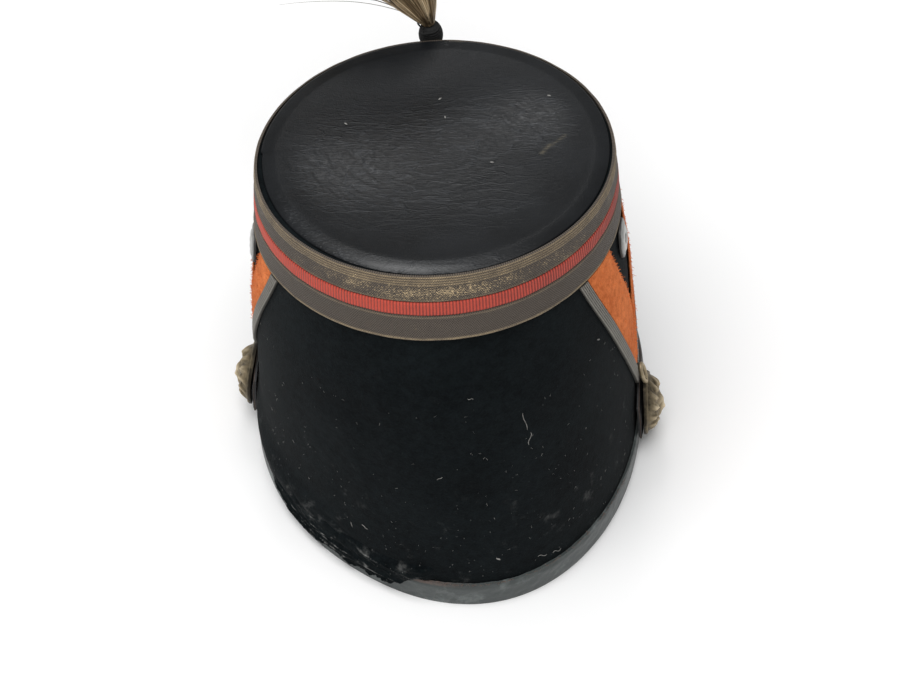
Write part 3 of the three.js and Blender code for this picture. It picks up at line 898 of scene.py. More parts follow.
@dataclass(frozen=True)
class AgedMetal:
    """Stamped metal, dull and dark in its hollows and rubbed bright on what stands out."""

    name: str
    bright: Colour
    dull: Colour
    dark: Colour
    metallic: float = 0.9
    gloss: float = 0.36

    def material(self) -> bpy.types.Material:
        """Makes the material.

        Returns:
            The material.
        """
        s = Shader(self.name)
        place = s.place()
        raised = s.mark(WEAR)
        patina = s.noise(place, 3.2 * MM, 6.0, 0.65)
        pits = s.noise(place, 0.7 * MM, 3.0, 0.6)
        lit = raised * 0.62 + patina * 0.5 - 0.1
        colour = s.ramp(lit, (0.2, self.dark), (0.45, self.dull), (0.82, self.bright))
        roughness = self.gloss + patina * 0.3 + pits * 0.1
        return s.finish(
            Base_Color=colour, Metallic=self.metallic, Roughness=roughness,
            Normal=s.bump(pits * 0.5 + patina * 0.5, 0.1, 0.6),
        )


@dataclass(frozen=True)
class Hair:
    """Horsehair whose strands run from dark brown to blond."""

    name: str
    dark: Colour = (0.05, 0.03, 0.018)
    middle: Colour = (0.33, 0.23, 0.125)
    pale: Colour = (0.78, 0.62, 0.4)

    def material(self) -> bpy.types.Material:
        """Makes the material.

        Returns:
            The material.
        """
        s = Shader(self.name)
        streaks = s.noise(s.place(), 5 * MM, 3.0, 0.6)
        tone = s.mark(SHADE) * 0.8 + streaks * 0.25
        colour = s.ramp(tone, (0.16, self.dark), (0.5, self.middle), (0.97, self.pale))
        return s.finish(Base_Color=colour, Roughness=0.45, Specular_IOR_Level=0.45)


@dataclass(frozen=True)
class PlainThread:
    """Waxed thread or loose fibres in one colour, a little uneven."""

    name: str
    colour: Colour
    pale: Colour
    gloss: float = 0.7

    def material(self) -> bpy.types.Material:
        """Makes the material.

        Returns:
            The material.
        """
        s = Shader(self.name)
        fuzz = s.noise(s.place(), 0.8 * MM, 3.0, 0.6)
        colour = s.ramp(fuzz, (0.3, self.colour), (0.75, self.pale))
        return s.finish(Base_Color=colour, Roughness=self.gloss, Normal=s.bump(fuzz, 0.15))


class Finishes:
    """Every finish of the hat, each made once."""

    def __init__(self) -> None:
        """Makes the materials."""
        self.felt = WoolFelt(
            "black_felt", (0.0012, 0.0024, 0.003), (0.006, 0.0092, 0.0105), (0.3, 0.3, 0.29)
        ).material()
        self.orange = WoolFelt(
            "orange_felt", (0.52, 0.12, 0.03), (0.88, 0.26, 0.08), (0.2, 0.07, 0.035), 0.8
        ).material()
        self.crown = WaxedLeather("crown_leather").material()
        self.band = WornLeather("band_leather").material()
        self.strap = WornLeather(
            "strap_leather", (0.012, 0.012, 0.013), (0.05, 0.047, 0.045), (0.09, 0.06, 0.045), 0.36
        ).material()
        self.lace = MetalLace("gilt_lace").material()
        self.ribbon = RibbedRibbon("red_ribbon").material()
        self.braid = RibbedBraid("grey_braid").material()
        self.brass = AgedMetal(
            "aged_brass", (0.82, 0.7, 0.5), (0.29, 0.235, 0.15), (0.03, 0.025, 0.018)
        ).material()
        self.tin = AgedMetal(
            "tinned_metal", (0.6, 0.6, 0.58), (0.34, 0.34, 0.33), (0.06, 0.056, 0.052), 0.7
        ).material()
        self.hair = Hair("horsehair").material()
        self.thread = PlainThread(
            "black_thread", (0.002, 0.002, 0.002), (0.01, 0.01, 0.01), 0.9
        ).material()
        self.lint = PlainThread("lint", (0.13, 0.13, 0.12), (0.42, 0.41, 0.39), 0.9).material()


def dress(made: bpy.types.Object, finish: bpy.types.Material, slot: str, *nodes: str) -> None:
    """Gives a piece its finish, fixes it to the hat and lets it stand for its solids.

    Args:
        made: the piece.
        finish: its material.
        slot: the name of the piece's material slot; not used.
        nodes: the solids that the piece stands for.
    """
    made.data.materials.append(finish)
    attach(made, "root")
    if nodes:
        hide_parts(*nodes)
    triangles = int(sum(len(p.vertices) - 2 for p in made.data.polygons))
    log.info("%s: %d triangles, %s", made.name, triangles, finish.name)


@dataclass
class SubAssembly:
    """A part of the hat that is built by itself, with the hat's finishes."""

    finishes: Finishes


@dataclass(frozen=True)
class Crease:
    """A fold pressed into the felt: its middle, half-length, slope, depth and half-width."""

    angle: float
    drop: float
    length: float
    slope: float
    depth: float
    width: float

    def press(self, angle: Array, drop: Array) -> tuple[Array, Array]:
        """Works out the fold: a groove of bell section with a raised lip below it.

        Args:
            angle: degrees round the hat.
            drop: share of the way down the wall.

        Returns:
            How far the felt moves out, in millimetres, and how rubbed it is there.
        """
        across = np.radians(angle - self.angle) * WALL_RADIUS
        down = (drop - self.drop) * WALL_LENGTH
        lean = math.radians(self.slope)
        along = (across * math.cos(lean) + down * math.sin(lean)) / self.length
        off = (down * math.cos(lean) - across * math.sin(lean)) / self.width
        share = hump(along)
        relief = self.depth * share * (0.7 * hump(off - 1.6) - hump(off))
        return relief, share * hump(off - 1.5)


@dataclass(frozen=True)
class Overhang:
    """Where the felt has slumped out over the leather band, on the wearer's left."""

    angle: float = 27.0
    spread: float = 27.0
    depth: float = 3.6
    height: float = 19.0
    rise: float = 9.0

    def out(self, angle: Array, height: Array) -> Array:
        """How far the felt is out: a bell curve round the hat times one up the wall."""
        up = hump((height - self.height) / self.rise)
        return self.depth * hump((angle - self.angle) / self.spread) * up


@dataclass
class FeltBody(SubAssembly):
    """The felt body: a tapering wall open at both ends, with old folds low on its left."""

    columns: int = 440
    rows: int = 150
    inner_rows: int = 26
    top_gap: float = 1.29
    foot: float = 1.6
    lace_end: float = 29.5
    band_top: float = 12.5
    lumps: Lumps = Lumps(0.28, 24, 3)
    pile: Lumps = Lumps(0.07, 2.2, 5, 40)
    rough: Lumps = Lumps(0.5, 1.4, 9, 30)
    overhang: Overhang = Overhang()
    creases: tuple[Crease, ...] = (
        Crease(59, 0.955, 11, 24, 0.9, 1.1),
        Crease(64, 0.975, 9, 30, 0.8, 0.9),
        Crease(56, 0.925, 8, 14, 0.5, 1.4),
        Crease(42, 0.965, 10, 22, 0.9, 1.0),
        Crease(37, 0.94, 7, 34, 0.6, 1.1),
        Crease(48, 0.945, 8, 8, 0.5, 1.6),
        Crease(72, 0.985, 7, 12, 0.5, 1.0),
    )

    def relief(self, angle: Array, drop: Array) -> tuple[Array, Array]:
        """Works out the felt's lumps and folds.

        The lumps are two sizes of smooth random relief, calmer on both sides where the chevrons
        lie, and the folds are added to them. All fade out at the lace or the leather band.

        Args:
            angle: degrees round the hat.
            drop: share of the way down the wall.

        Returns:
            How far the felt moves out, in millimetres, and how rubbed it is.
        """
        places = WALL.point(angle, drop)
        height = places[..., 2]
        length = drop * WALL.length(angle)
        free = smoothstep(length, self.lace_end, self.lace_end + 5)
        free = free * smoothstep(height, self.band_top, self.band_top + 4.5)
        side = smoothstep(np.abs(np.cos(np.radians(angle))), 0.62, 0.75)
        out = (self.lumps.at(places) * (1 - side) + self.pile.at(places) * (1 - 0.6 * side)) * free
        out = out + self.overhang.out(angle, height) * smoothstep(height, 12.2, 14.5)
        rubbed = np.zeros_like(out)
        for crease in self.creases:
            moved, worn = crease.press(angle, drop)
            out = out + moved * smoothstep(height, 11.0, 14.0)
            rubbed = np.maximum(rubbed, worn)
        return out, rubbed * (self.rough.at(places) + 0.5)

    def build(self) -> None:
        """Makes the felt body: down the outside, round the foot and up the inside."""
        angle = np.arange(self.columns) * 360 / self.columns
        start = WALL.drop_for(angle, self.top_gap)
        drop = mix(start, 1.0, np.linspace(0, 1, self.rows)[:, None])
        back = mix(start, 1.0, np.linspace(1, 0, self.inner_rows)[:, None])
        relief, rubbed = self.relief(np.broadcast_to(angle, drop.shape), drop)
        points = np.concatenate([
            WALL.point(angle, drop, relief),
            WALL.point(angle, 1.0, 0.0, self.foot)[None],
            WALL.point(angle, 1.0, -FELT_THICK, self.foot)[None],
            WALL.point(angle, back, -FELT_THICK),
        ])
        shape = Shape().add(points, rows_joined=True, wear=marked(points, rubbed))
        dress(shape.piece("felt_body", 50), self.finishes.felt, "felt", "body")


@dataclass
class FeltFold(SubAssembly):
    """The felt that has slipped down over the band behind the left boss, creased and rubbed.

    It runs round the hat from start to end, in degrees, and fades in and out at both. Its section
    leaves the felt at the top, covers the band to a ragged edge and goes back up behind, clear of
    the leather. Where it ends towards the back, its edge stays higher by end_lift.
    """

    start: float = 13.0
    end: float = 94.0
    fade: float = 24.0
    top: float = 21.0
    cover: float = 9.4
    hang: float = 2.9
    clear: float = 2.05
    sunk: float = 0.7
    band_top: float = 13.3
    end_lift: float = 1.6
    slope: float = 1.6
    columns: int = 420
    rows: int = 46
    tears: tuple[Lumps, ...] = (Lumps(0.1, (6, 1, 1), 71), Lumps(0.05, (1.5, 1, 1), 72))
    broad: Lumps = Lumps(1.0, (24, 5.5, 1), 73)
    fine: Lumps = Lumps(1.0, (11, 3.0, 1), 74)
    frayed: Lumps = Lumps(0.9, (3.5, 1.4, 1), 75)
    overhang: Overhang = Overhang()

    def edge(self, angle: Array, share: Array) -> Array:
        """Finds the height of the ragged lower edge.

        Args:
            angle: degrees round the hat.
            share: how far the fold has faded in, 0 to 1.

        Returns:
            The heights over the floor.
        """
        arc = np.radians(angle) * WALL_RADIUS
        line = np.concatenate([arc, 0 * arc, 0 * arc], -1)
        ragged = 1 + sum(tear.at(line) for tear in self.tears)[:, None]
        low = self.band_top - self.cover * smoothstep(share, 0.25, 1.0) * ragged
        return low + self.end_lift * smoothstep(angle, 62, 84)

    def build(self) -> None:
        """Makes the fold, creased by crests of random relief drawn out along its slope."""
        angle = np.linspace(self.start, self.end, self.columns)[:, None]
        share = smoothstep(np.minimum(angle - self.start, self.end - angle), 0, self.fade)
        low = self.edge(angle, share)
        t = np.linspace(0, 1, self.rows)[None]
        height = mix(self.top, low, t)
        arc = np.radians(angle) * WALL_RADIUS
        lean = np.stack(np.broadcast_arrays(arc + height * self.slope, height, 0.0), -1)
        broad = 1 - np.abs(self.broad.at(lean))
        fine = 1 - np.abs(self.fine.at(lean))
        inner = self.overhang.out(angle, self.top) - self.sunk
        hang = mix(inner, self.hang, smoothstep(share, 0, 0.3))
        free = smoothstep(t, 0.05, 0.5) * share
        creased = 1.3 * np.maximum(broad, 0) ** 3 + 0.4 * np.maximum(fine, 0) ** 3 - 0.5
        rounded = 1.2 * smoothstep(t, 0.93, 1.0) ** 2 * share
        out = mix(inner, hang, smoothstep(t, 0, 0.4)) + free * creased - rounded
        outer = WALL.at_height(angle + 0 * height, height, out)
        back = np.array([[0.0, 0.5, 1.0, 1.0]])
        back_height = mix(low, self.band_top, back) + np.array([0.3, 0, 0, 1.5])
        clear = mix(inner, self.clear, smoothstep(share, 0, 0.25))
        back_out = np.array([1.0, 1.0, 1.0, 0.0]) * clear - 0.3 * (back > 0.9)
        under = WALL.at_height(angle + 0 * back_height, back_height, back_out)
        points = np.concatenate([outer, under], axis=1)
        crest = 2.2 * smoothstep(broad, 0.88, 1.0) + smoothstep(fine, 0.92, 1.0)
        frayed = np.clip(0.3 + self.frayed.at(lean), 0, 1)
        wear = free * np.clip(frayed * (crest + 1.5 * smoothstep(t, 0.93, 1.0)), 0, 2)
        shape = Shape().add(points, wear=marked(points, wear))
        dress(shape.piece("felt_fold", 60), self.finishes.felt, "felt")


@dataclass(frozen=True)
class Hollow:
    """A shallow place pressed into the crown: its middle, spread and depth."""

    x: float
    y: float
    spread: float
    depth: float


@dataclass(frozen=True)
class Scuff:
    """A rubbed streak across the crown from one place to another."""

    start: tuple[float, float]
    end: tuple[float, float]
    width: float
    strength: float

    def mark(self, places: Array) -> Array:
        """Works out how rubbed each place is: a bell curve of its distance from the streak.

        Args:
            places: places with X and Y first in their last axis.

        Returns:
            One number for each place.
        """
        start, end = np.array(self.start), np.array(self.end)
        line = end - start
        share = np.clip((places[..., :2] - start) @ line / (line @ line), 0, 1)
        nearest = start + share[..., None] * line
        distance = np.linalg.norm(places[..., :2] - nearest, axis=-1)
        return self.strength * hump(distance / self.width)


@dataclass
class Crown(SubAssembly):
    """The leather crown: a thin dished disc with a rolled edge, finely crumpled.

    Shares run from 0 in the middle to 1 at the rim, and start at the pole, where a fan closes it.
    """

    columns: int = 420
    rows: int = 120
    edge_rows: int = 12
    under_rows: int = 16
    pole: float = 0.012
    inset: float = 2.4
    thick: float = 2.2
    proud: float = 1.3
    roll_drop: float = 1.7
    roll_out: float = 0.35
    roll_share: float = 0.8
    round_from: float = 0.88
    round_fall: float = 2.1
    shrink: float = 1.5
    shrink_angle: float = 30.0
    shrink_spread: float = 42.0
    # A painted highlight along part of the near rim, which reaches the finish through the shade
    # mark as more coat.
    gleam: float = 1.25
    gleam_angle: float = 72.0
    gleam_spread: float = 34.0
    gleam_share: float = 0.957
    gleam_width: float = 0.036
    dish: float = 1.6
    flat_from: float = 0.92
    crumb_angle: float = 267.5
    crumb_spread: float = 4.5
    crumb_share: float = 0.985
    crumb_width: float = 0.03
    crumbs: Lumps = Lumps(0.9, 1.1, 31, 30)
    fine: Lumps = Lumps(0.05, (6, 1.9, 4), 21, 60)
    broad: Lumps = Lumps(0.14, (16, 6, 6), 22, 40)
    hollows: tuple[Hollow, ...] = (
        Hollow(6, -44, 26, 1.7), Hollow(-36, 30, 24, 1.3), Hollow(38, 20, 30, 0.9),
    )
    # Where the leather is crumpled; the finish paints its sheen band over the same places.
    folds: tuple[Hollow, ...] = (
        Hollow(31, 12, 38, 0.7), Hollow(-14, -14, 30, 0.5), Hollow(-42, -26, 24, 0.6),
        Hollow(-25, 30, 26, 0.2),
    )
    scuffs: tuple[Scuff, ...] = (
        Scuff((-41.6, 0.7), (-45.0, -5.0), 0.7, 0.34),
        Scuff((-46.0, -5.0), (-50.9, -10.5), 0.6, 0.28),
        Scuff((-0.5, -73.6), (-6.0, -73.5), 1.2, 0.8),
    )

    def rounding(self, angle: Array, share: Array) -> Array:
        """The soft shoulder near the rim: a fall with the square of the share, less in front."""
        past = np.clip((share - self.round_from) / (1 - self.round_from), 0, 1)
        return -self.round_fall * past ** 2 * (0.6 + 0.4 * np.sin(np.radians(angle)))

    def spot(self, angle: Array, share: Array, out: Array = 0.0) -> Array:
        """Finds places seen from above; their heights are not yet the crown's.

        Args:
            angle: degrees round the hat.
            share: how far from the middle to the rim.
            out: how far past that rim, in millimetres.

        Returns:
            The places.
        """
        middle = np.array([WALL.top.x, WALL.top.y, 0.0])
        shrunk = self.shrink * hump((np.asarray(angle) - self.shrink_angle) / self.shrink_spread)
        inset = self.inset + shrunk
        edge = WALL.point(angle, 0.0, WALL.tuck_depth - inset + out) - middle
        return edge * np.asarray(share)[..., None] + middle

    def laid(self, places: Array, share: Array, lift: Array) -> Array:
        """Puts places on the solid model's upper face, or off it.

        The face is the plane of the top edge, raised at the rim, dished in the middle and pressed
        in by bell-shaped hollows.

        Args:
            places: places to change in height.
            share: their shares of the way to the rim.
            lift: how far they stand over the face.

        Returns:
            The same places.
        """
        x, y = places[..., 0], places[..., 1]
        rise = self.proud - self.dish * (1 - np.minimum(1, share / self.flat_from) ** 6)
        fade = np.maximum(0, 1 - (share / self.flat_from) ** 4)
        for hollow in self.hollows:
            away = np.hypot(x - hollow.x, y - hollow.y) / hollow.spread
            rise = rise - hollow.depth * hump(away) * fade
        places[..., 2] = WALL.top_height(x, y) + rise + lift
        return places

    def crumpled(self, places: Array, share: Array) -> Array:
        """Works out how crumpled the leather is: most where it is folded most, none at the rim. The
        finish also paints its sheen band where this is high, through more coat and lighter crease
        lines.

        Args:
            places: places on the crown.
            share: their shares of the way to the rim.

        Returns:
            One number for each place, 0 to 1.
        """
        where = np.full(places.shape[:-1], 0.05)
        for fold in self.folds:
            away = np.hypot(places[..., 0] - fold.x, (places[..., 1] - fold.y) * 1.5)
            where = where + fold.depth * hump(away / fold.spread)
        return np.clip(where, 0, 1) * (1 - smoothstep(share, 0.7, 0.97))

    def build(self) -> None:
        """Makes the crown: its face, the rolled edge and the underside.

        The crumpling is random relief drawn out along X, with the crests of its finer part
        sharpened.
        """
        angle = np.arange(self.columns)[None] * 360 / self.columns
        full = np.ones_like(angle)
        share = np.linspace(self.pole, 1, self.rows)[:, None] * full
        face = self.spot(angle, share)
        near = hump((angle - self.crumb_angle) / self.crumb_spread)
        near = near * hump((share - self.crumb_share) / self.crumb_width)
        lift = self.rounding(angle, share) + np.maximum(0, self.crumbs.at(face)) * near
        crumpled = self.crumpled(face, share)
        crumple = np.abs(self.fine.at(face)) + self.broad.at(face)
        lift = lift + crumple * crumpled * smoothstep(share, 0.08, 0.35)
        down = np.linspace(0, self.roll_share, self.edge_rows + 1)[1:, None] * full
        rim = np.ones_like(down)
        edge = self.spot(angle, rim, self.roll_out * np.sin(math.pi * down))
        drop = self.roll_drop * down - self.rounding(angle, rim)
        edge[..., 2] = self.laid(self.spot(angle, rim), rim, -drop)[..., 2]
        back = np.linspace(1, self.pole, self.under_rows)[:, None] * full
        under = self.laid(self.spot(angle, back), back, -self.thick)
        points = np.concatenate([self.laid(face, share, lift), edge, under])
        scuffed = np.maximum.reduce([scuff.mark(face) for scuff in self.scuffs])
        # A painted highlight near the rim, joined to the crumpling in the shade mark, which the
        # finish turns into more coat and lighter crease lines.
        gleam = self.gleam * hump((angle - self.gleam_angle) / self.gleam_spread)
        gleam = gleam * hump((share - self.gleam_share) / self.gleam_width)
        shade = marked(points, np.maximum(crumpled, gleam))
        shape = Shape().add(points, wear=marked(points, scuffed), shade=shade)
        dress(shape.piece("crown_disc"), self.finishes.crown, "crown_leather", "crown_top")


@dataclass(frozen=True)
class Cord:
    """A raised thread that runs along a band: how far across it lies, and its half-width."""

    across: float
    width: float
    rise: float
    wear: float


@dataclass
class TopBand(SubAssembly):
    """One woven band round the top, with raised threads along it."""

    node: str
    start: float
    end: float
    thick: float
    slot: str
    cords: tuple[Cord, ...] = ()
    rib_rise: float = 0.0
    rib_pitch: float = 1.3
    worn_angle: float = 0.0
    worn_spread: float = 1.0
    worn: float = 1.0
    lumps: Lumps = Lumps(0.09, (9, 9, 3), 41)
    columns: int = 620
    rows: int = 52
    back_rows: int = 4
    girth: float = 468.0

    def build(self) -> None:
        """Makes the band.

        Its section is a rounded strip, thick * (1 - 0.3 |2t - 1|^10), plus a bell-shaped ridge for
        each lengthwise thread, and ribs across it where it has them.
        """
        ribs = round(self.girth / self.rib_pitch)
        columns = ribs * 4 if self.rib_rise else self.columns
        angle = (np.arange(columns) * 360 / columns)[None]
        t = np.linspace(0, 1, self.rows)[:, None]
        across = mix(self.start, self.end, t)
        rounded = 1 - 0.3 * np.abs(2 * t - 1) ** 10
        out = (self.thick * rounded) * np.ones_like(angle)
        wear = self.worn * hump((angle - self.worn_angle) / self.worn_spread)
        wear = wear * hump((t - 0.62) / 0.4)
        shade = np.zeros_like(wear)
        for cord in self.cords:
            ridge = hump((across - self.start - cord.across) / cord.width)
            out = out + cord.rise * ridge
            shade = shade + cord.wear * ridge
        if self.rib_rise:
            out = out + self.rib_rise * np.cos(2 * math.pi * ribs * angle / 360) * rounded
        drop = WALL.drop_for(angle, across)
        out = out + self.lumps.at(WALL.point(angle, drop))
        back_across = mix(self.end, self.start, np.linspace(0, 1, self.back_rows)[:, None])
        back = WALL.point(angle, WALL.drop_for(angle, back_across), GAP)
        points = np.concatenate([WALL.point(angle, drop, GAP + out), back])
        distance = np.arange(columns + 1) * self.girth / columns
        spread = np.concatenate([across[:, 0], back_across[:, 0], [self.start]])
        shape = Shape().add(
            points, distance, spread, rows_joined=True,
            wear=marked(points, wear), shade=marked(points, shade),
        )
        finish = self.finishes.ribbon if self.rib_rise else self.finishes.lace
        dress(shape.piece(f"{self.node}_band", 60), finish, self.slot, self.node)


@dataclass
class Chevron(SubAssembly):
    """One side's chevron, in degrees back from the side; each number falls down the wall."""

    side: Side
    axis: float
    axis_fall: float
    outer: float
    outer_fall: float
    inner: float
    inner_fall: float
    braid_degrees: float = 3.8
    braid_thick: float = 1.6
    braid_end: float = 1.6
    braid_twist: float = 1.8
    felt_thick: float = 1.2
    felt_seam: float = 0.25
    felt_end: float = 2.0
    felt_width: float = 16.0
    fibres: int = 420
    clear: float = 0.4
    tip: float = 0.8
    lace_end: float = 29.3
    rows: int = 110
    felt_columns: int = 22
    braid_columns: int = 31
    braid_ribs: int = 5

    def strip(
        self, leg: Leg, end: float, near: Array, far: Array, relief: Array
    ) -> tuple[Array, Array]:
        """A strip on the wall between two edges, from the lace down to where it ends.

        Args:
            leg: the chevron's rear or front leg.
            end: the drop where the strip ends.
            near: half-width of its inner edge for each row, in degrees from the axis.
            far: the same for its outer edge.
            relief: rows x columns of its thickness, in millimetres.

        Returns:
            Closed sections of points, and how far down each row is, in millimetres.
        """
        rows, columns = relief.shape
        k = np.linspace(0, 1, rows)[:, None]
        axis = self.axis - self.axis_fall * self.guess(end)[:, None]
        t = np.linspace(0, 1, columns)
        halves = mix(near[:, None], far[:, None], t)
        angle = self.side.angle(axis + leg.value * halves)
        drop = mix(WALL.drop_for(angle, self.lace_end), end, k)
        outer = WALL.point(angle, drop, GAP + relief)
        inner = WALL.point(angle[:, ::-4], drop[:, ::-4], self.clear)
        length = float(WALL.length(self.side.angle(self.axis)))
        return np.concatenate([outer, inner], axis=1), self.guess(end) * length

    def guess(self, end: float) -> Array:
        """The drop of each row, taken on the chevron's axis."""
        start = WALL.drop_for(self.side.angle(self.axis), self.lace_end)
        return mix(float(start), end, np.linspace(0, 1, self.rows))

    def felt(self, leg: Leg) -> Shape:
        """The orange felt: a strip with a wavy cut edge, and fibres that stand off it.

        Args:
            leg: the chevron's rear or front leg.

        Returns:
            The strip and its fibres.
        """
        end = (self.outer - self.braid_degrees - self.felt_end) / self.outer_fall
        drop = self.guess(end)
        seed = 50 + leg.value + 3 * int(self.side.outward)
        near = np.maximum(self.inner - self.inner_fall * drop, self.felt_seam)
        far = self.outer - self.outer_fall * drop - self.braid_degrees - self.felt_seam
        far = np.maximum(far, near + self.tip)
        down = drop[:, None] * WALL_LENGTH
        line = np.concatenate([down, 0 * down, 0 * down], -1)
        cut = Lumps(0.13, (5, 1, 1), seed).at(line) * smoothstep(near, 0.2, 2.0)
        t = np.linspace(0, 1, self.felt_columns)[None]
        rounded = 1 - 0.45 * (1 - t) ** 14 - 0.15 * t ** 14
        flat = np.stack(np.broadcast_arrays(down, t * self.felt_width, 0.0), -1)
        relief = self.felt_thick * rounded + Lumps(0.1, (1.6, 1.6, 1), seed + 1, 30).at(flat)
        points, length = self.strip(leg, end, near + cut, far, relief)
        wear = marked(points, hump(t / 0.07) * np.ones((self.rows, 1)))
        shape = Shape().add(points, None, length, wear=wear)
        return shape.add(self.stray_fibres(points, seed))

    def stray_fibres(self, points: Array, seed: int) -> Array:
        """Short fibres rooted on the felt, most of them at its inner edge, that lean and curl.

        Args:
            points: the felt's sections.
            seed: picks where they stand and how they lie.

        Returns:
            A thin tube for each fibre.
        """
        random = np.random.default_rng(seed)
        count = self.fibres
        pick = random.integers(2, self.rows - 2, count)
        depth = random.uniform(0, 1, count) ** 3
        column = (depth * (self.felt_columns - 1)).astype(int)
        roots = points[pick, column]
        inward = unit(points[pick, 0] - points[pick, self.felt_columns - 1])
        away = unit(np.cross(points[pick + 1, 1] - points[pick - 1, 1], inward))
        away = away * np.sign((away[:, :2] * roots[:, :2]).sum(-1))[:, None]
        reach = random.uniform(0.4, 1.3, (count, 1))
        lean = inward * random.uniform(-0.2, 1, (count, 1)) + random.normal(0, 0.35, (count, 3))
        share = np.array([0, 0.5, 1.0])[None, :, None]
        rise = away[:, None] * (share - 0.35 * share ** 2) * 0.7
        paths = roots[:, None] + reach[:, None] * (lean[:, None] * share + rise)
        return tubes(paths, np.broadcast_to([0.11, 0.09, 0.04], (count, 3)))

    def braid(self, leg: Leg) -> Shape:
        """The grey braid, whose lengthwise ribs are a row of half-round ridges.

        Args:
            leg: the chevron's rear or front leg.

        Returns:
            The braid.
        """
        end = (self.outer - self.braid_end) / self.outer_fall
        drop = self.guess(end)
        near = np.maximum(self.outer - self.outer_fall * drop - self.braid_degrees, self.felt_seam)
        far = np.maximum(self.outer - self.outer_fall * drop, near + self.tip)
        t = np.linspace(0, 1, self.braid_columns)[None]
        ribs = np.abs(np.sin(math.pi * self.braid_ribs * t)) ** 0.7 * np.ones((self.rows, 1))
        base = self.braid_thick - 0.45 - 0.3 * np.abs(2 * t - 1) ** 8
        down = drop[:, None] * WALL_LENGTH
        twist = 0.05 * np.sin(2 * math.pi * down / self.braid_twist)
        points, length = self.strip(leg, end, near, far, base + 0.42 * ribs + twist)
        # The ribs' profile goes into the wear mark, from which the finish paints shade in the
        # grooves.
        return Shape().add(points, None, length, wear=marked(points, ribs))

    def build(self) -> None:
        """Makes both legs of felt and braid."""
        for leg in Leg:
            place = f"{self.side.value}_{leg.name.lower()}"
            felt = self.felt(leg).piece(f"orange_{place}", 60)
            braid = self.braid(leg).piece(f"edging_{place}", 60)
            dress(felt, self.finishes.orange, "orange_felt", f"chevron_{place}")
            dress(braid, self.finishes.braid, "grey_braid", f"braid_{place}")


def stood_out(points: Array, place: Array, up: Array, outward: Array) -> Array:
    """Turns points so that their Z is outward and their Y is up, and moves them to a place."""
    across = unit(np.cross(up, outward))
    return place + points @ np.stack([across, up, outward])


@dataclass
class Vent(SubAssembly):
    """A domed metal eyelet with a small hole in its middle."""

    side: Side
    back: float
    drop: float
    radius: float = 8.2
    hole: float = 2.4
    rise: float = 2.0
    lip: float = 0.9
    seat: float = 0.75
    groove: float = 0.35
    battered: float = 0.12
    steps: int = 72

    def profile(self) -> Array:
        """The eyelet's section from its rim over the dome and down the hole.

        Returns:
            Rows of radius and height.
        """
        bend = np.linspace(0, 1, 16)
        radius = mix(self.radius * 0.97, self.hole * 1.35, bend)
        height = self.lip + (self.rise - self.lip) * np.sin(bend * math.pi / 2) ** 1.3
        height = height - self.groove * hump((radius - self.radius * 0.72) / 0.5)
        throat = np.array([[self.hole, self.rise * 0.85], [self.hole, 0.0]])
        rim = np.array([[self.radius, 0.0], [self.radius, self.lip * 0.7]])
        return np.concatenate([rim, np.stack([radius, height], axis=-1), throat])

    def build(self) -> None:
        """Makes the eyelet: its profile turned about its middle, a little battered."""
        angle = self.side.angle(self.back)
        up = unit(WALL.point(angle, self.drop - 0.05) - WALL.point(angle, self.drop + 0.05))
        along = WALL.point(angle - 3, self.drop) - WALL.point(angle + 3, self.drop)
        outward = unit(np.cross(up, along))
        outward = outward * self.side.outward * np.sign(outward[0])
        points = turned_profile(self.profile() + [0, self.seat], self.steps)
        height = points[..., 2]
        turn = np.arctan2(points[..., 1], points[..., 0])
        lumps = self.battered * np.cos(turn * 5 + 1.3) * np.cos(turn * 2)
        height += lumps * smoothstep(height, self.seat + 0.6, self.seat + 1.6)
        wear = smoothstep(height, self.seat + 0.4, self.seat + self.rise)
        placed = stood_out(points, WALL.point(angle, self.drop), up, outward)
        made = Shape().add(placed, rows_joined=True, wear=wear)
        made = made.piece(f"eyelet_{self.side.value}", 50)
        dress(made, self.finishes.tin, "white_metal", f"vent_{self.side.value}")


# The lion's features as bell-shaped rises, in shares of the boss's radius: across from its middle,
# up, half-width, half-height and the rise in millimetres. One off the middle is on both sides.
LION = {
    "brow": (0, 0.3, 0.34, 0.13, 1.1),
    "bridge": (0, 0.02, 0.11, 0.3, 2.0),
    "nose": (0, -0.14, 0.16, 0.1, 1.0),
    "cheeks": (0.18, -0.28, 0.15, 0.13, 1.3),
    "chin": (0, -0.58, 0.2, 0.12, 1.5),
    "ears": (0.5, 0.48, 0.13, 0.13, 1.0),
    "eyes": (0.26, 0.1, 0.05, 0.035, 0.75),
    "lids": (0.25, 0.2, 0.13, 0.035, 0.5),
    "nostrils": (0.08, -0.17, 0.035, 0.03, -0.6),
    "ear hollows": (0.5, 0.48, 0.06, 0.06, -0.7),
    "lip groove": (0, -0.28, 0.02, 0.1, -0.5),
    "frown": (0, 0.36, 0.03, 0.12, -0.35),
    "eye sockets": (0.26, 0.1, 0.12, 0.08, -1.5),
    "mouth": (0, -0.44, 0.26, 0.06, -2.0),
}


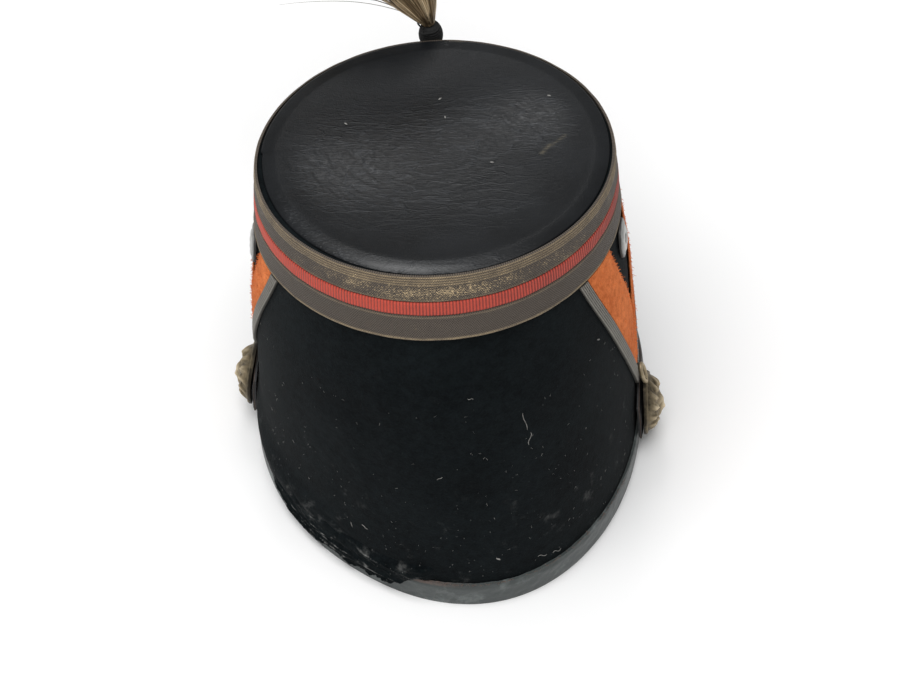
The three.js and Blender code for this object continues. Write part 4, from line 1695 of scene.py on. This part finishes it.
@dataclass
class Boss(SubAssembly):
    """A stamped lion-mask boss over one end of the chin strap."""

    side: Side
    back: float
    height: float
    radius: float = 14.0
    flange: float = 1.3
    bead: float = 0.35
    rolled: float = 0.4
    dome: float = 4.2
    hug_sides: float = 0.85
    hug_top: float = 2.2
    pole: float = 0.01
    steps: int = 150
    rings: int = 84
    back_rings: int = 6
    loop_lift: float = 3.4
    loop_out: float = 2.4
    loop_size: tuple[float, float] = (2.9, 5.0)
    loop_wire: float = 1.0

    def domed(self, r: Array) -> Array:
        """The smooth dome under the mask, at a share of the radius."""
        return self.dome * np.maximum(0, 1 - (r / 0.9) ** 2) ** 0.7

    def relief(self, u: Array, v: Array) -> Array:
        """Height of the mask over its flange: a dome, a ridged mane and the lion's features.

        Args:
            u: across, as a share of the radius.
            v: up, as a share of the radius.

        Returns:
            Heights in millimetres.
        """
        r, turn = np.hypot(u, v), np.arctan2(v, u)
        ridge = np.maximum(0, 1 - ((r - 0.68) / 0.2) ** 2)
        locks = np.cos(turn * 13 + np.sin(r * 7))
        hairs = np.cos(turn * 39 + 3 * np.sin(r * 9))
        height = self.domed(r) + (0.7 + 0.8 * locks + 0.18 * hairs) * ridge
        for x, y, wide, high, rise in LION.values():
            for middle in ((x, -x) if x else (x,)):
                height = height + rise * hump((u - middle) / wide) * hump((v - y) / high)
        return height

    def laid(self, u: Array, v: Array, rise: Array) -> Array:
        """Points of the boss, bent back to follow the strap: with u^2, and with v^2 at the top.

        Args:
            u: across, as a share of the radius.
            v: up, as a share of the radius.
            rise: how far out, in millimetres.

        Returns:
            The points, with outward last.
        """
        hug = self.hug_sides * u ** 2 + self.hug_top * np.maximum(v, 0) ** 2
        return np.stack([u * self.radius, v * self.radius, rise - hug], -1)

    def build(self) -> None:
        """Makes the boss."""
        angle = self.side.angle(self.back)
        stand = GAP + LEATHER_THICK + BaseBand.flare + GAP + ChinStrap.thick + GAP
        place = WALL.point(angle, 1.0, stand, self.height)
        share = np.linspace(self.pole, 1, self.rings)[:, None]
        cosines, sines = circle(self.steps)
        u, v = share * cosines, share * sines
        rise = np.maximum(0, self.relief(u, v)) * smoothstep(share, 0.965, 0.93)
        rise = rise + self.bead * hump((share - 0.955) / 0.022)
        rise = rise - self.rolled * smoothstep(share, 0.97, 1.0)
        back = np.linspace(1, self.pole, self.back_rings)[:, None]
        points = np.concatenate([
            self.laid(u, v, self.flange + rise), self.laid(back * cosines, back * sines, 0.0)
        ])
        steep = np.abs(np.gradient(rise, axis=0) + np.gradient(rise, axis=1))
        wear = np.clip(0.3 + 0.32 * (rise - self.domed(share)) - 0.3 * steep, 0, 1)
        placed = stood_out(points, place, UP, headings(angle))
        made = Shape().add(placed, wear=marked(points, wear)).piece(f"lion_{self.side.value}", 60)
        dress(made, self.finishes.brass, "aged_brass", f"boss_{self.side.value}")
        if self.side is Side.RIGHT:
            self.loop()

    def loop(self) -> None:
        """The small brass loop that stands over the right boss: an oval wire, round in section."""
        angle = self.side.angle(self.back)
        out = headings(angle)
        height = self.height + self.radius + self.loop_lift
        middle = WALL.at_height(angle, height, GAP + self.loop_wire) + self.loop_out * out
        up = unit(UP - 0.3 * out)
        wide, high = self.loop_size
        cosines, sines = (a[:, None] for a in circle(36))
        path = middle + wide * cosines * np.cross(UP, out) + high * sines * up
        closed = np.concatenate([path[-1:], path, path[:1]])
        rings = tubes(closed, np.full(len(closed), self.loop_wire), 10, out)[1:-1]
        shape = Shape().add(rings, rows_joined=True, wear=0.6)
        dress(shape.piece("brass_loop"), self.finishes.brass, "aged_brass")


@dataclass
class BaseBand(SubAssembly):
    """The leather band round the felt's lower edge, folded in under it."""

    top: float = 11.9
    back_rise: float = 0.9
    flare: float = 0.2
    lip: float = 1.3
    lip_inset: float = 3.2
    girth: float = 590.0
    columns: int = 560
    counts: tuple[int, ...] = (2, 8, 8, 2, 5, 2, 5, 2, 4)
    worn_angle: float = 82.0
    worn_spread: float = 26.0
    ragged: tuple[Lumps, ...] = (Lumps(0.22, 2.0, 61, 30), Lumps(0.2, 14, 62))
    lumps: tuple[Lumps, ...] = (Lumps(0.16, (7, 7, 3), 63), Lumps(0.05, 1.5, 64, 30))
    fray_count: int = 240
    fray_from: float = 28.0
    fray_to: float = 158.0

    def top_at(self, angle: Array) -> Array:
        """The height of the upper edge, which is higher at the back."""
        return self.top + self.back_rise * np.sin(np.radians(angle))

    def build(self) -> None:
        """Makes the band: an L-shaped section carried round the hat, its upper edge worn ragged."""
        angle = np.arange(self.columns) * 360 / self.columns
        ragged = sum(lumps.at(WALL.point(angle, 1.0)) for lumps in self.ragged)
        top = self.top_at(angle) + np.minimum(ragged, 0.45)
        face = GAP + LEATHER_THICK
        corners = np.stack([
            WALL.at_height(angle, top, GAP), WALL.at_height(angle, top, face - 0.2),
            WALL.point(angle, 1.0, face), WALL.point(angle, 1.0, face + self.flare, self.lip),
            WALL.point(angle, 1.0, face, 0.0), WALL.point(angle, 1.0, -self.lip_inset, 0.0),
            WALL.point(angle, 1.0, -self.lip_inset, self.lip),
            WALL.point(angle, 1.0, GAP, self.lip), WALL.point(angle, 1.0, GAP),
        ], axis=1)
        points = resampled(corners, self.counts)
        outer = slice(self.counts[0], sum(self.counts[:3]))
        lumps = sum(lumps.at(points[:, outer]) for lumps in self.lumps)
        points[:, outer] += lumps[..., None] * headings(angle)[:, None]
        height = points[..., 2]
        wear = 0.9 * smoothstep(height, self.top - 2.6, self.top + 0.2)
        wear = np.maximum(wear, 0.5 * smoothstep(height, 1.6, 0.4))
        wear = wear * (0.3 + 0.7 * hump((angle[:, None] - self.worn_angle) / self.worn_spread))
        distance = np.arange(self.columns + 1) * self.girth / self.columns
        shape = Shape().add(points.swapaxes(0, 1), distance, rows_joined=True, wear=wear.T)
        made = shape.piece("leather_band", 40)
        dress(made, self.finishes.band, "band_leather", "base_band")
        self.frays()

    def frays(self) -> None:
        """Small bits of leather and thread that stand off the band's upper edge at the back."""
        random = np.random.default_rng(65)
        count = self.fray_count
        angle = random.uniform(self.fray_from, self.fray_to, count)
        top = self.top_at(angle) + random.normal(0, 0.3, count)
        roots = WALL.at_height(angle, top, GAP + LEATHER_THICK - 0.35)
        share = np.linspace(0, 1, 4)[None, :, None]
        reach = random.uniform(0.5, 1.9, (count, 1, 1))
        way = headings(angle + 90) * random.uniform(-1, 1, (count, 1)) + 0.5 * UP
        way = way + 0.35 * (headings(angle) + 0.2 * UP)
        bend = random.normal(0, 0.3, (count, 1, 3))
        paths = roots[:, None] + reach * (way[:, None] * share + bend * share ** 2)
        radii = random.uniform(0.08, 0.22, (count, 1)) * np.array([1, 1, 0.8, 0.4])
        shape = Shape().add(tubes(paths, radii, 4), wear=1.0)
        dress(shape.piece("band_frays"), self.finishes.band, "band_leather")


@dataclass
class ChinStrap(SubAssembly):
    """The chin strap, round the front from boss to boss, widened to a tab under each."""

    width: float = 16.0
    thick: float = 1.6
    length: float = 300.0
    side_height: float = 20.0
    front_height: float = 22.5
    end_past: float = 7.0
    bosses: tuple[float, float] = (1.2, -2.2)
    rows: int = 240
    columns: int = 27
    edge: float = 1.2
    pressed: float = 0.3
    tuck: float = 1.2
    tab: float = 2.8
    tab_spread: float = 7.0

    def build(self) -> None:
        """Makes the strap: a strip with pressed lines near its edges and square-cut ends."""
        right, left = (back + self.end_past for back in self.bosses)
        k = np.linspace(0, 1, self.rows)[:, None]
        angle = mix(left, -180.0 - right, k)
        middle = mix(self.side_height, self.front_height, np.sin(math.pi * k) ** 2)
        across = np.linspace(-1, 1, self.columns)[None]
        tabs = (self.bosses[1], -180.0 - self.bosses[0])
        wider = sum(self.tab * hump((angle - place) / self.tab_spread) for place in tabs)
        height = middle + across * (self.width / 2 + wider)
        tucked = self.tuck * smoothstep(height, 23, 29) * np.minimum(wider / self.tab, 1)
        stand = GAP + LEATHER_THICK + BaseBand.flare + GAP - tucked
        line = hump((np.abs(across) - 1 + 2 * self.edge / self.width) / 0.035)
        out = self.thick * (1 - 0.35 * np.abs(across) ** 16) - self.pressed * line
        round_hat = angle + 0 * height
        back = slice(None, None, -6)
        points = np.concatenate([
            WALL.at_height(round_hat, height, stand + out),
            WALL.at_height(round_hat[:, back], height[:, back], stand[:, back]),
        ], axis=1)
        wear = marked(points, smoothstep(np.abs(across), 0.9, 1.0) * np.ones_like(k))
        made = Shape().add(points, None, k[:, 0] * self.length, wear=wear)
        made = made.piece("leather_strap", 50)
        dress(made, self.finishes.strap, "strap_leather", "chin_strap")


@dataclass
class Peak(SubAssembly):
    """The leather peak: a crescent, level across, that falls gently to its edge."""

    half_angle: float = 56.0
    depth: float = 48.0
    end_depth: float = 1.5
    splay: float = 0.55
    thick: float = 2.2
    root_height: float = 7.4
    tip_height: float = 1.4
    length: float = 150.0
    bead: float = 0.35
    groove: float = 0.25
    lumps: Lumps = Lumps(0.12, 16, 71)
    columns: int = 140
    rows: int = 36

    def build(self) -> None:
        """Makes the peak, with a bound edge: a low bead that runs along its rim."""
        k = np.linspace(0, 1, self.columns)
        side = mix(-1.0, 1.0, k)
        angle = 270 + self.half_angle * side
        root = WALL.point(angle, 1.0, GAP + LEATHER_THICK + BaseBand.flare + GAP, 0.0)
        forward = unit(headings(angle) * [self.splay, 1, 1])
        depth = self.depth * (1 - np.abs(side) ** 2.3) ** 0.8 + self.end_depth
        depth = depth[:, None]
        share = np.linspace(0, 1, self.rows)[None]
        level = root[:, None] + forward[:, None] * (depth * share)[..., None]
        fall = mix(self.root_height, self.tip_height, share * depth / self.depth)
        inset = depth * (1 - share)
        bead = self.bead * hump((inset - 1.6) / 0.9) - self.groove * hump((inset - 3.6) / 0.5)
        upper, lower = level.copy(), level[:, ::-1].copy()
        upper[..., 2] = fall + self.thick + bead * (depth > 5) + self.lumps.at(level)
        lower[..., 2] = fall[:, ::-1]
        points = np.concatenate([upper, lower], axis=1)
        wear = marked(points, smoothstep(inset, 2.0, 0.3))
        made = Shape().add(points, None, k * self.length, wear=wear).piece("leather_peak", 50)
        dress(made, self.finishes.strap, "strap_leather", "peak")


def straight(radius: float, start: float, end: float, count: int) -> Array:
    """A profile of one radius, from one height to another."""
    return np.stack([np.full(count, radius), np.linspace(start, end, count)], -1)


@dataclass
class Plume(SubAssembly):
    """The horsehair plume, its bound foot and the leather socket that holds it."""

    angle: float = 274.6
    length: float = 120.0
    lean: float = 33.0
    forward: float = 0.75
    rise: float = 0.66
    stand: float = 12.0
    droop: float = 30.0
    locks: int = 26
    lock_reach: float = 16.0
    lock_radius: float = 3.0
    strands: int = 2100
    strand_reach: float = 33.0
    strand_foot: float = 2.2
    stray_strands: int = 26
    stray_reach: float = 1.25
    wisps: int = 5
    wisp_length: float = 46.0
    wisp_ends: tuple[tuple[float, float], ...] = ((34, 48), (-8, 4), (-16, 4))
    lace_thick: float = 1.3
    socket_radius: float = 4.5
    socket_bore: float = 2.3
    socket_from: float = 7.5
    socket_length: float = 23.0
    socket_rim: float = 1.0
    socket_seam: float = 0.07
    pin_share: float = 0.8
    knot_radius: float = 5.0
    knot_height: float = 12.0
    knot_below: float = 7.0
    thread_turns: int = 11
    thread_radius: float = 0.5
    thread_loops: tuple[tuple[float, float, float], ...] = ((3.6, 0.5, 2.4), (2.8, -0.9, 1.4))

    def on_axis(self, length: Array) -> Array:
        """Finds places on the socket's axis, which lies along the front of the lace.

        Args:
            length: how far down it each place is.

        Returns:
            The places.
        """
        out = GAP + self.lace_thick + GAP + self.socket_radius
        start = WALL.point(self.angle, 0.0, out)
        down = unit(WALL.point(self.angle, WALL.tuck_whole, out) - start)
        return start + np.asarray(length)[..., None] * down

    def axes(self) -> tuple[Array, Array, Array, Array]:
        """Finds the ways that the plume is built along.

        Returns:
            Up out of the socket, the way the hair heads, across it and over it.
        """
        up = self.on_axis(0.0) - self.on_axis(1.0)
        lean = math.radians(self.lean)
        heading = unit(np.array([math.sin(lean), -math.cos(lean) * self.forward, self.rise]))
        side = unit(np.cross(heading, up))
        return up, heading, side, np.cross(side, heading)

    def fan(self, turn: Array) -> Array:
        """Ways off the middle of the hair: cos * side + sin * over, at turns round it."""
        _, _, side, over = self.axes()
        return np.cos(turn)[:, None] * side + np.sin(turn)[:, None] * over

    def hair(self, k: Array, length: Array, splay: Array, droop: Array) -> Array:
        """Paths of hair that leave straight up, bend over to the heading, splay and droop.

        Each point is foot + up * 2 stand k(1 - k) + heading * length k (k + 1)/2 + splay k^0.9,
        less droop k^2 in height.

        Args:
            k: shares along the hair, last axis of the result's rows.
            length: length of each hair.
            splay: where each hair's end lies off the middle one.
            droop: how far each end sinks.

        Returns:
            hairs x rows x 3 places.
        """
        up, heading, _, _ = self.axes()
        foot = self.on_axis(self.knot_below - self.knot_height - GAP)
        k = k[None, :, None]
        length, droop = length[:, None, None], droop[:, None, None]
        paths = foot + up * 2 * self.stand * k * (1 - k) + heading * length * k * (1 + k) / 2
        return paths + splay[:, None] * k ** 0.9 - UP * droop * k ** 2

    def build(self) -> None:
        """Makes the hair, its knot and the socket."""
        self.tuft()
        self.knot()
        self.socket()

    def tuft(self) -> None:
        """Makes the hair: a full inner tuft of locks, and many single strands round it."""
        random = np.random.default_rng(81)
        shape = Shape()
        self.add_locks(shape, random)
        self.add_strands(shape, random)
        dress(shape.piece("horsehair_tuft"), self.finishes.hair, "horsehair", "plume")

    def add_locks(self, shape: Shape, random: np.random.Generator) -> None:
        """Adds the locks, which swell and taper, set evenly over a round of their reach.

        Args:
            shape: what they are added to.
            random: where their lengths and tones are drawn from.
        """
        locks = self.locks
        k = np.linspace(0, 1, 14)
        turn = random.uniform(0, 2 * math.pi, locks)
        reach = self.lock_reach * np.sqrt(np.arange(locks) / locks)
        length = self.length * random.uniform(0.78, 0.95, locks)
        droop = self.droop * random.uniform(0.9, 1.15, locks)
        paths = self.hair(k, length, reach[:, None] * self.fan(turn), droop)
        belly = 0.45 + 0.75 * np.sin(math.pi * np.minimum(1, k * 0.75 + 0.06))
        radii = self.lock_radius * belly * (1 - 0.9 * k ** 3) * np.ones((locks, 1))
        tone = random.uniform(0.0, 0.75, locks)[:, None, None]
        shape.add(tubes(paths, radii, 9, self.axes()[2]), shade=tone)

    def add_strands(self, shape: Shape, random: np.random.Generator) -> None:
        """Adds single strands, each with its own curl; the last few are short stray wisps.

        Args:
            shape: what they are added to.
            random: where their places and tones are drawn from.
        """
        number = self.strands + self.stray_strands
        turn = random.uniform(0, 2 * math.pi, number)
        around = self.fan(turn)
        reach = self.strand_reach * random.uniform(0, 1, number) ** 0.55
        reach[self.strands:] *= self.stray_reach
        splay = reach[:, None] * around
        length = self.length * random.uniform(0.72, 0.99, number)
        length[-self.wisps:] = self.wisp_length
        ends = [random.uniform(low, high, self.wisps) for low, high in self.wisp_ends]
        splay[-self.wisps:] = np.stack(ends, -1)
        droop = self.droop * random.uniform(0.75, 1.25, number)
        k = np.linspace(0, 1, 13)
        paths = self.hair(k, length, splay, droop)
        foot = self.strand_foot * np.sqrt(random.uniform(0, 1, number))
        along = k[None, :, None]
        paths = paths + (foot[:, None] * around)[:, None] * (1 - along)
        curl = random.normal(0, 1.0, (number, 1, 3)) * np.sin(2.2 * math.pi * along)
        paths = paths + curl * (0.35 + 1.6 * along)
        width = random.uniform(0.12, 0.27, (number, 1)) * (1 - 0.65 * k ** 2)
        bundled = 0.25 + 0.85 * np.abs(np.sin(turn * 2.5 + reach * 0.12))
        tone = (random.uniform(0, 1, number) ** 0.75 * bundled)[:, None, None]
        shape.add(tubes(paths, width), shade=tone)

    def knot_round(self, share: Array) -> Array:
        """The knot's radius as a share of its widest, at shares of its height."""
        return 0.55 + 0.45 * np.sin(math.pi * share) ** 0.6

    def knot(self) -> None:
        """Makes the binding: a bulb wound with thread, two stray thread loops, and its pin."""
        up, _, side, _ = self.axes()
        front = np.cross(side, up)
        across = unit(np.cross(front, up))
        half = self.knot_height / 2
        middle = self.on_axis(self.knot_below - half)
        k = np.linspace(0, 1, 22)
        radius = (self.knot_radius - 0.45) * self.knot_round(k)
        profile = np.stack([radius, mix(-half, half, k)], -1)
        a = np.linspace(0, self.thread_turns * 2 * math.pi, self.thread_turns * 26)
        along = mix(-half + 0.5, half - 0.4, a / a[-1])
        reach = self.knot_radius * self.knot_round(along / self.knot_height + 0.5) - 0.25
        wound = np.cos(a)[:, None] * across + np.sin(a)[:, None] * front
        coil = middle + along[:, None] * up + reach[:, None] * wound
        shape = Shape().add(stood_out(turned_profile(profile, 30), middle, front, up))
        shape.add(tubes(coil, np.full(len(coil), self.thread_radius), 6, up))
        bend = np.linspace(0, 1, 20)[:, None]
        arch = np.sin(math.pi * bend)
        for reach, tilt, lift in self.thread_loops:
            out = math.cos(tilt) * across + math.sin(tilt) * front
            loop = middle + up * (half - 1.5 + lift * arch) + out * (2.6 + reach * arch ** 0.8)
            loop = loop + np.cross(out, up) * mix(-1.6, 1.6, bend)
            shape.add(tubes(loop, np.full(len(loop), 0.42), 6, up))
        pin = (self.socket_from + self.socket_length * self.pin_share) / 2
        pin_profile = turned_profile(straight(self.socket_bore - GAP, -pin, pin, 8), 16)
        shape.add(stood_out(pin_profile, self.on_axis(pin), front, up))
        made = shape.piece("wound_knot", 60)
        dress(made, self.finishes.thread, "black_thread", "plume_knot")

    def socket(self) -> None:
        """Makes the socket: a leather tube with rounded ends and a seam down its front."""
        up, _, side, _ = self.axes()
        half = self.socket_length / 2
        edge = half - self.socket_rim
        bend = np.linspace(0, math.pi, 9)
        middle = (self.socket_radius + self.socket_bore) / 2
        wall = (self.socket_radius - self.socket_bore) / 2
        lip = np.stack([wall * np.cos(bend), self.socket_rim * np.sin(bend)], -1)
        points = turned_profile(np.concatenate([
            [middle, edge] + lip, straight(self.socket_bore, edge, -edge, 12)[1:-1],
            [middle, -edge] - lip, straight(self.socket_radius, -edge, edge, 12)[1:-1],
        ]), 48)
        turn = np.arctan2(points[..., 1], points[..., 0])
        radius = np.hypot(points[..., 0], points[..., 1])
        seam = 1 - self.socket_seam * hump(turn / 0.09) * (radius > middle)
        points[..., :2] *= seam[..., None]
        place = self.on_axis(self.socket_from + half)
        placed = stood_out(points, place, np.cross(side, up), up)
        made = Shape().add(placed, rows_joined=True).piece("leather_socket", 60)
        dress(made, self.finishes.strap, "strap_leather", "plume_socket")


@dataclass(frozen=True)
class Fleck:
    """A wisp of lint: where it lies on the wall, its length, its turn and its half-width."""

    angle: float
    drop: float
    length: float
    turn: float
    width: float = 0.14


@dataclass
class Lint(SubAssembly):
    """White threads and flecks caught on the felt and the crown."""

    threads: tuple[Fleck, ...] = (
        Fleck(118.5, 0.47, 9.0, 80), Fleck(119.8, 0.53, 6.0, 95), Fleck(148.5, 0.39, 2.0, 30, 0.3),
        Fleck(102.5, 0.36, 2.5, 20), Fleck(92.5, 0.61, 3.0, 140), Fleck(40, 0.93, 5.0, 60),
        Fleck(46, 0.9, 4.0, 110), Fleck(61, 0.9, 6.0, 75), Fleck(66, 0.87, 3.5, 15),
        Fleck(109, 0.905, 2.2, 40, 0.4), Fleck(123, 0.95, 5.0, 10), Fleck(128, 0.965, 4.5, 170),
    )
    crown_specks: tuple[tuple[float, float], ...] = (
        (1.2, -36.4), (-1.6, -23.9), (38.8, -19.1), (-43.7, -35.9), (-22.1, 5.6),
    )
    scattered: int = 190
    one_degree: float = 1.6
    wall_length: float = 155.0
    proud: float = 0.25
    speck_length: float = 0.8
    speck_radius: float = 0.34
    speck_proud: float = 0.15

    def build(self) -> None:
        """Makes the lint."""
        random = np.random.default_rng(91)
        felt = Shape().add(self.on_felt(random)).piece("felt_lint")
        dress(felt, self.finishes.lint, "felt")
        crown = Shape().add(self.on_crown(random)).piece("crown_lint")
        dress(crown, self.finishes.lint, "crown_leather")

    def on_felt(self, random: np.random.Generator) -> Array:
        """Thin tubes on the felt: the named threads and many scattered ones, a little bent.

        Args:
            random: where the scattered ones are drawn from.

        Returns:
            The tubes.
        """
        named = np.array([[f.angle, f.drop, f.length, f.turn, f.width] for f in self.threads])
        number = self.scattered
        loose = np.stack([
            random.uniform(15, 165, number), random.uniform(0.22, 0.97, number) ** 0.6,
            random.uniform(0.3, 1.5, number), random.uniform(0, 180, number),
            random.uniform(0.025, 0.06, number),
        ], -1)
        rows = np.concatenate([named, loose])
        angle, drop, length, turn, width = (rows[:, i, None] for i in range(5))
        share = np.linspace(-0.5, 0.5, 9)[None]
        wander = random.normal(0, 0.14, (len(rows), 1)) * length * np.sin(share * math.pi * 1.7)
        along = share * length
        lean = np.radians(turn)
        across = (along * np.cos(lean) - wander * np.sin(lean)) / self.one_degree
        down = (along * np.sin(lean) + wander * np.cos(lean)) / self.wall_length
        paths = WALL.point(angle + across, drop + down, self.proud)
        return tubes(paths, width * (1 - (2 * share) ** 4 * 0.5), 4)

    def on_crown(self, random: np.random.Generator) -> Array:
        """Short thick tubes on the crown.

        Args:
            random: where their turns are drawn from.

        Returns:
            The tubes.
        """
        share = np.linspace(-1, 1, 5)
        ways = headings(random.uniform(0, 180, len(self.crown_specks)))
        spots = np.array([(x, y, 0.0) for x, y in self.crown_specks])
        paths = spots[:, None] + ways[:, None] * share[:, None] * self.speck_length
        level = np.hypot(paths[..., 0], paths[..., 1]) / WALL.top.half_width
        radii = self.speck_radius * (1 - 0.6 * share ** 2)
        paths = Crown(self.finishes).laid(paths, level, self.speck_proud)
        return tubes(paths, np.broadcast_to(radii, paths.shape[:2]), 6)


@dataclass(frozen=True)
class Lamp:
    """A square soft light that faces the hat: its place and side in metres, and its watts."""

    name: str
    place: tuple[float, float, float]
    size: float
    power: float
    aim_height: float = 0.08

    def build(self) -> None:
        """Makes the light and turns it to the hat."""
        light = bpy.data.lights.new(self.name, "AREA")
        light.shape = "SQUARE"
        light.size = self.size
        light.energy = self.power
        made = bpy.data.objects.new(self.name, light)
        made.location = self.place
        aim = Vector((0, 0, self.aim_height)) - Vector(self.place)
        made.rotation_euler = aim.to_track_quat("-Z", "Y").to_euler()
        bpy.context.scene.collection.objects.link(made)


@dataclass
class Studio:
    """The plain floor, soft light and the camera behind and above the hat."""

    floor_half: float = 3000.0
    floor_colour: Colour = (0.93, 0.93, 0.93)
    daylight: float = 0.3
    turn: float = 3.67
    elevation: float = 49.0
    roll: float = -0.5
    distance: float = 1200.0
    aim_height: float = 80.0
    focal_pixels: float = 2832.0
    aim_pixel: tuple[float, float] = (438.9, 277.7)
    picture: tuple[int, int] = (900, 675)
    sensor: float = 36.0
    lamps: tuple[Lamp, ...] = (
        Lamp("window", (0.25, -1.65, 1.95), 0.5, 5), Lamp("ceiling", (0.35, 0.5, 2.6), 2.4, 78),
    )

    def camera(self) -> None:
        """Places the camera so that the hat's aim point falls on its pixel of the picture."""
        psi, rise, roll = (math.radians(a) for a in (self.turn, self.elevation, self.roll))
        level = Vector((-math.cos(psi), -math.sin(psi), 0))
        ahead = Vector((
            math.sin(psi) * math.cos(rise), -math.cos(psi) * math.cos(rise), -math.sin(rise)
        ))
        above = Vector((
            math.sin(psi) * math.sin(rise), -math.cos(psi) * math.sin(rise), math.cos(rise)
        ))
        right = level * math.cos(roll) + above * math.sin(roll)
        up = above * math.cos(roll) - level * math.sin(roll)
        aside = self.picture[0] / 2 - self.aim_pixel[0]
        below = self.aim_pixel[1] - self.picture[1] / 2
        look = (ahead * self.focal_pixels + right * aside + up * below).normalized()
        right = look.cross(up).normalized()
        up = right.cross(look)
        place = Vector((0, 0, self.aim_height)) - ahead * self.distance + Vector(SHIFT)
        turn = Matrix((right, up, -look)).transposed()
        lens = bpy.data.cameras.new("camera")
        lens.sensor_width = self.sensor
        lens.lens = self.focal_pixels * self.sensor / self.picture[0]
        lens.clip_end = 20
        made = bpy.data.objects.new("camera", lens)
        made.matrix_world = Matrix.Translation(place * MM) @ turn.to_4x4()
        bpy.context.scene.collection.objects.link(made)
        bpy.context.scene.camera = made

    def floor(self) -> None:
        """Makes the white floor, which isn't part of the hat."""
        half = self.floor_half * MM
        mesh = bpy.data.meshes.new("floor")
        corners = [(-half, -half, 0), (half, -half, 0), (half, half, 0), (-half, half, 0)]
        mesh.from_pydata(corners, [], [(0, 1, 2, 3)])
        made = bpy.data.objects.new("floor", mesh)
        bpy.context.scene.collection.objects.link(made)
        shader = Shader("white_floor")
        mesh.materials.append(shader.finish(Base_Color=self.floor_colour, Roughness=0.85))

    def build(self) -> None:
        """Makes the floor, the lights and the camera."""
        self.camera()
        self.floor()
        world = bpy.data.worlds.new("studio")
        world.use_nodes = True
        world.node_tree.nodes["Background"].inputs[0].default_value = (1, 1, 1, 1)
        world.node_tree.nodes["Background"].inputs[1].default_value = self.daylight
        bpy.context.scene.world = world
        bpy.context.scene.view_settings.view_transform = "Standard"
        for lamp in self.lamps:
            lamp.build()


def main() -> None:
    """Builds the studio and every piece of the hat, in order."""
    logging.basicConfig(level=logging.INFO, format="%(name)s: %(message)s")
    Studio().build()
    finishes = Finishes()
    FeltBody(finishes).build()
    FeltFold(finishes).build()
    Crown(finishes).build()
    gilt = tuple(Cord(0.6 + 1.05 * i, 0.3, 0.22, 0.8) for i in range(4))
    TopBand(
        finishes, "lace_upper", 0.0, 11.4, 1.05, "lace", (*gilt, Cord(10.7, 0.4, 0.25, 0.25)),
        worn_angle=97, worn_spread=56,
    ).build()
    TopBand(
        finishes, "red_stripe", 11.7, 17.4, 1.15, "red_ribbon", rib_rise=0.13, rows=14
    ).build()
    TopBand(
        finishes, "lace_lower", 17.7, 29.0, 1.05, "lace",
        (Cord(0.7, 0.4, 0.25, 0.25), Cord(10.5, 0.45, 0.3, 0.75)),
        worn_angle=88, worn_spread=20, worn=0.15,
    ).build()
    Chevron(finishes, Side.RIGHT, 6.9, 7.2, 41.3, 46.5, 21.5, 40.3).build()
    Chevron(finishes, Side.LEFT, 12.1, 17.8, 34.2, 42.2, 18.0, 34.0).build()
    Vent(finishes, Side.RIGHT, 5.2, 0.265).build()
    Vent(finishes, Side.LEFT, 7.4, 0.275).build()
    BaseBand(finishes).build()
    ChinStrap(finishes).build()
    Boss(finishes, Side.RIGHT, 1.2, 19.5).build()
    Boss(finishes, Side.LEFT, -2.2, 20.5).build()
    Peak(finishes).build()
    Plume(finishes).build()
    Lint(finishes).build()


SHIFT = frame_shift()

if __name__ == "__main__":
    main()
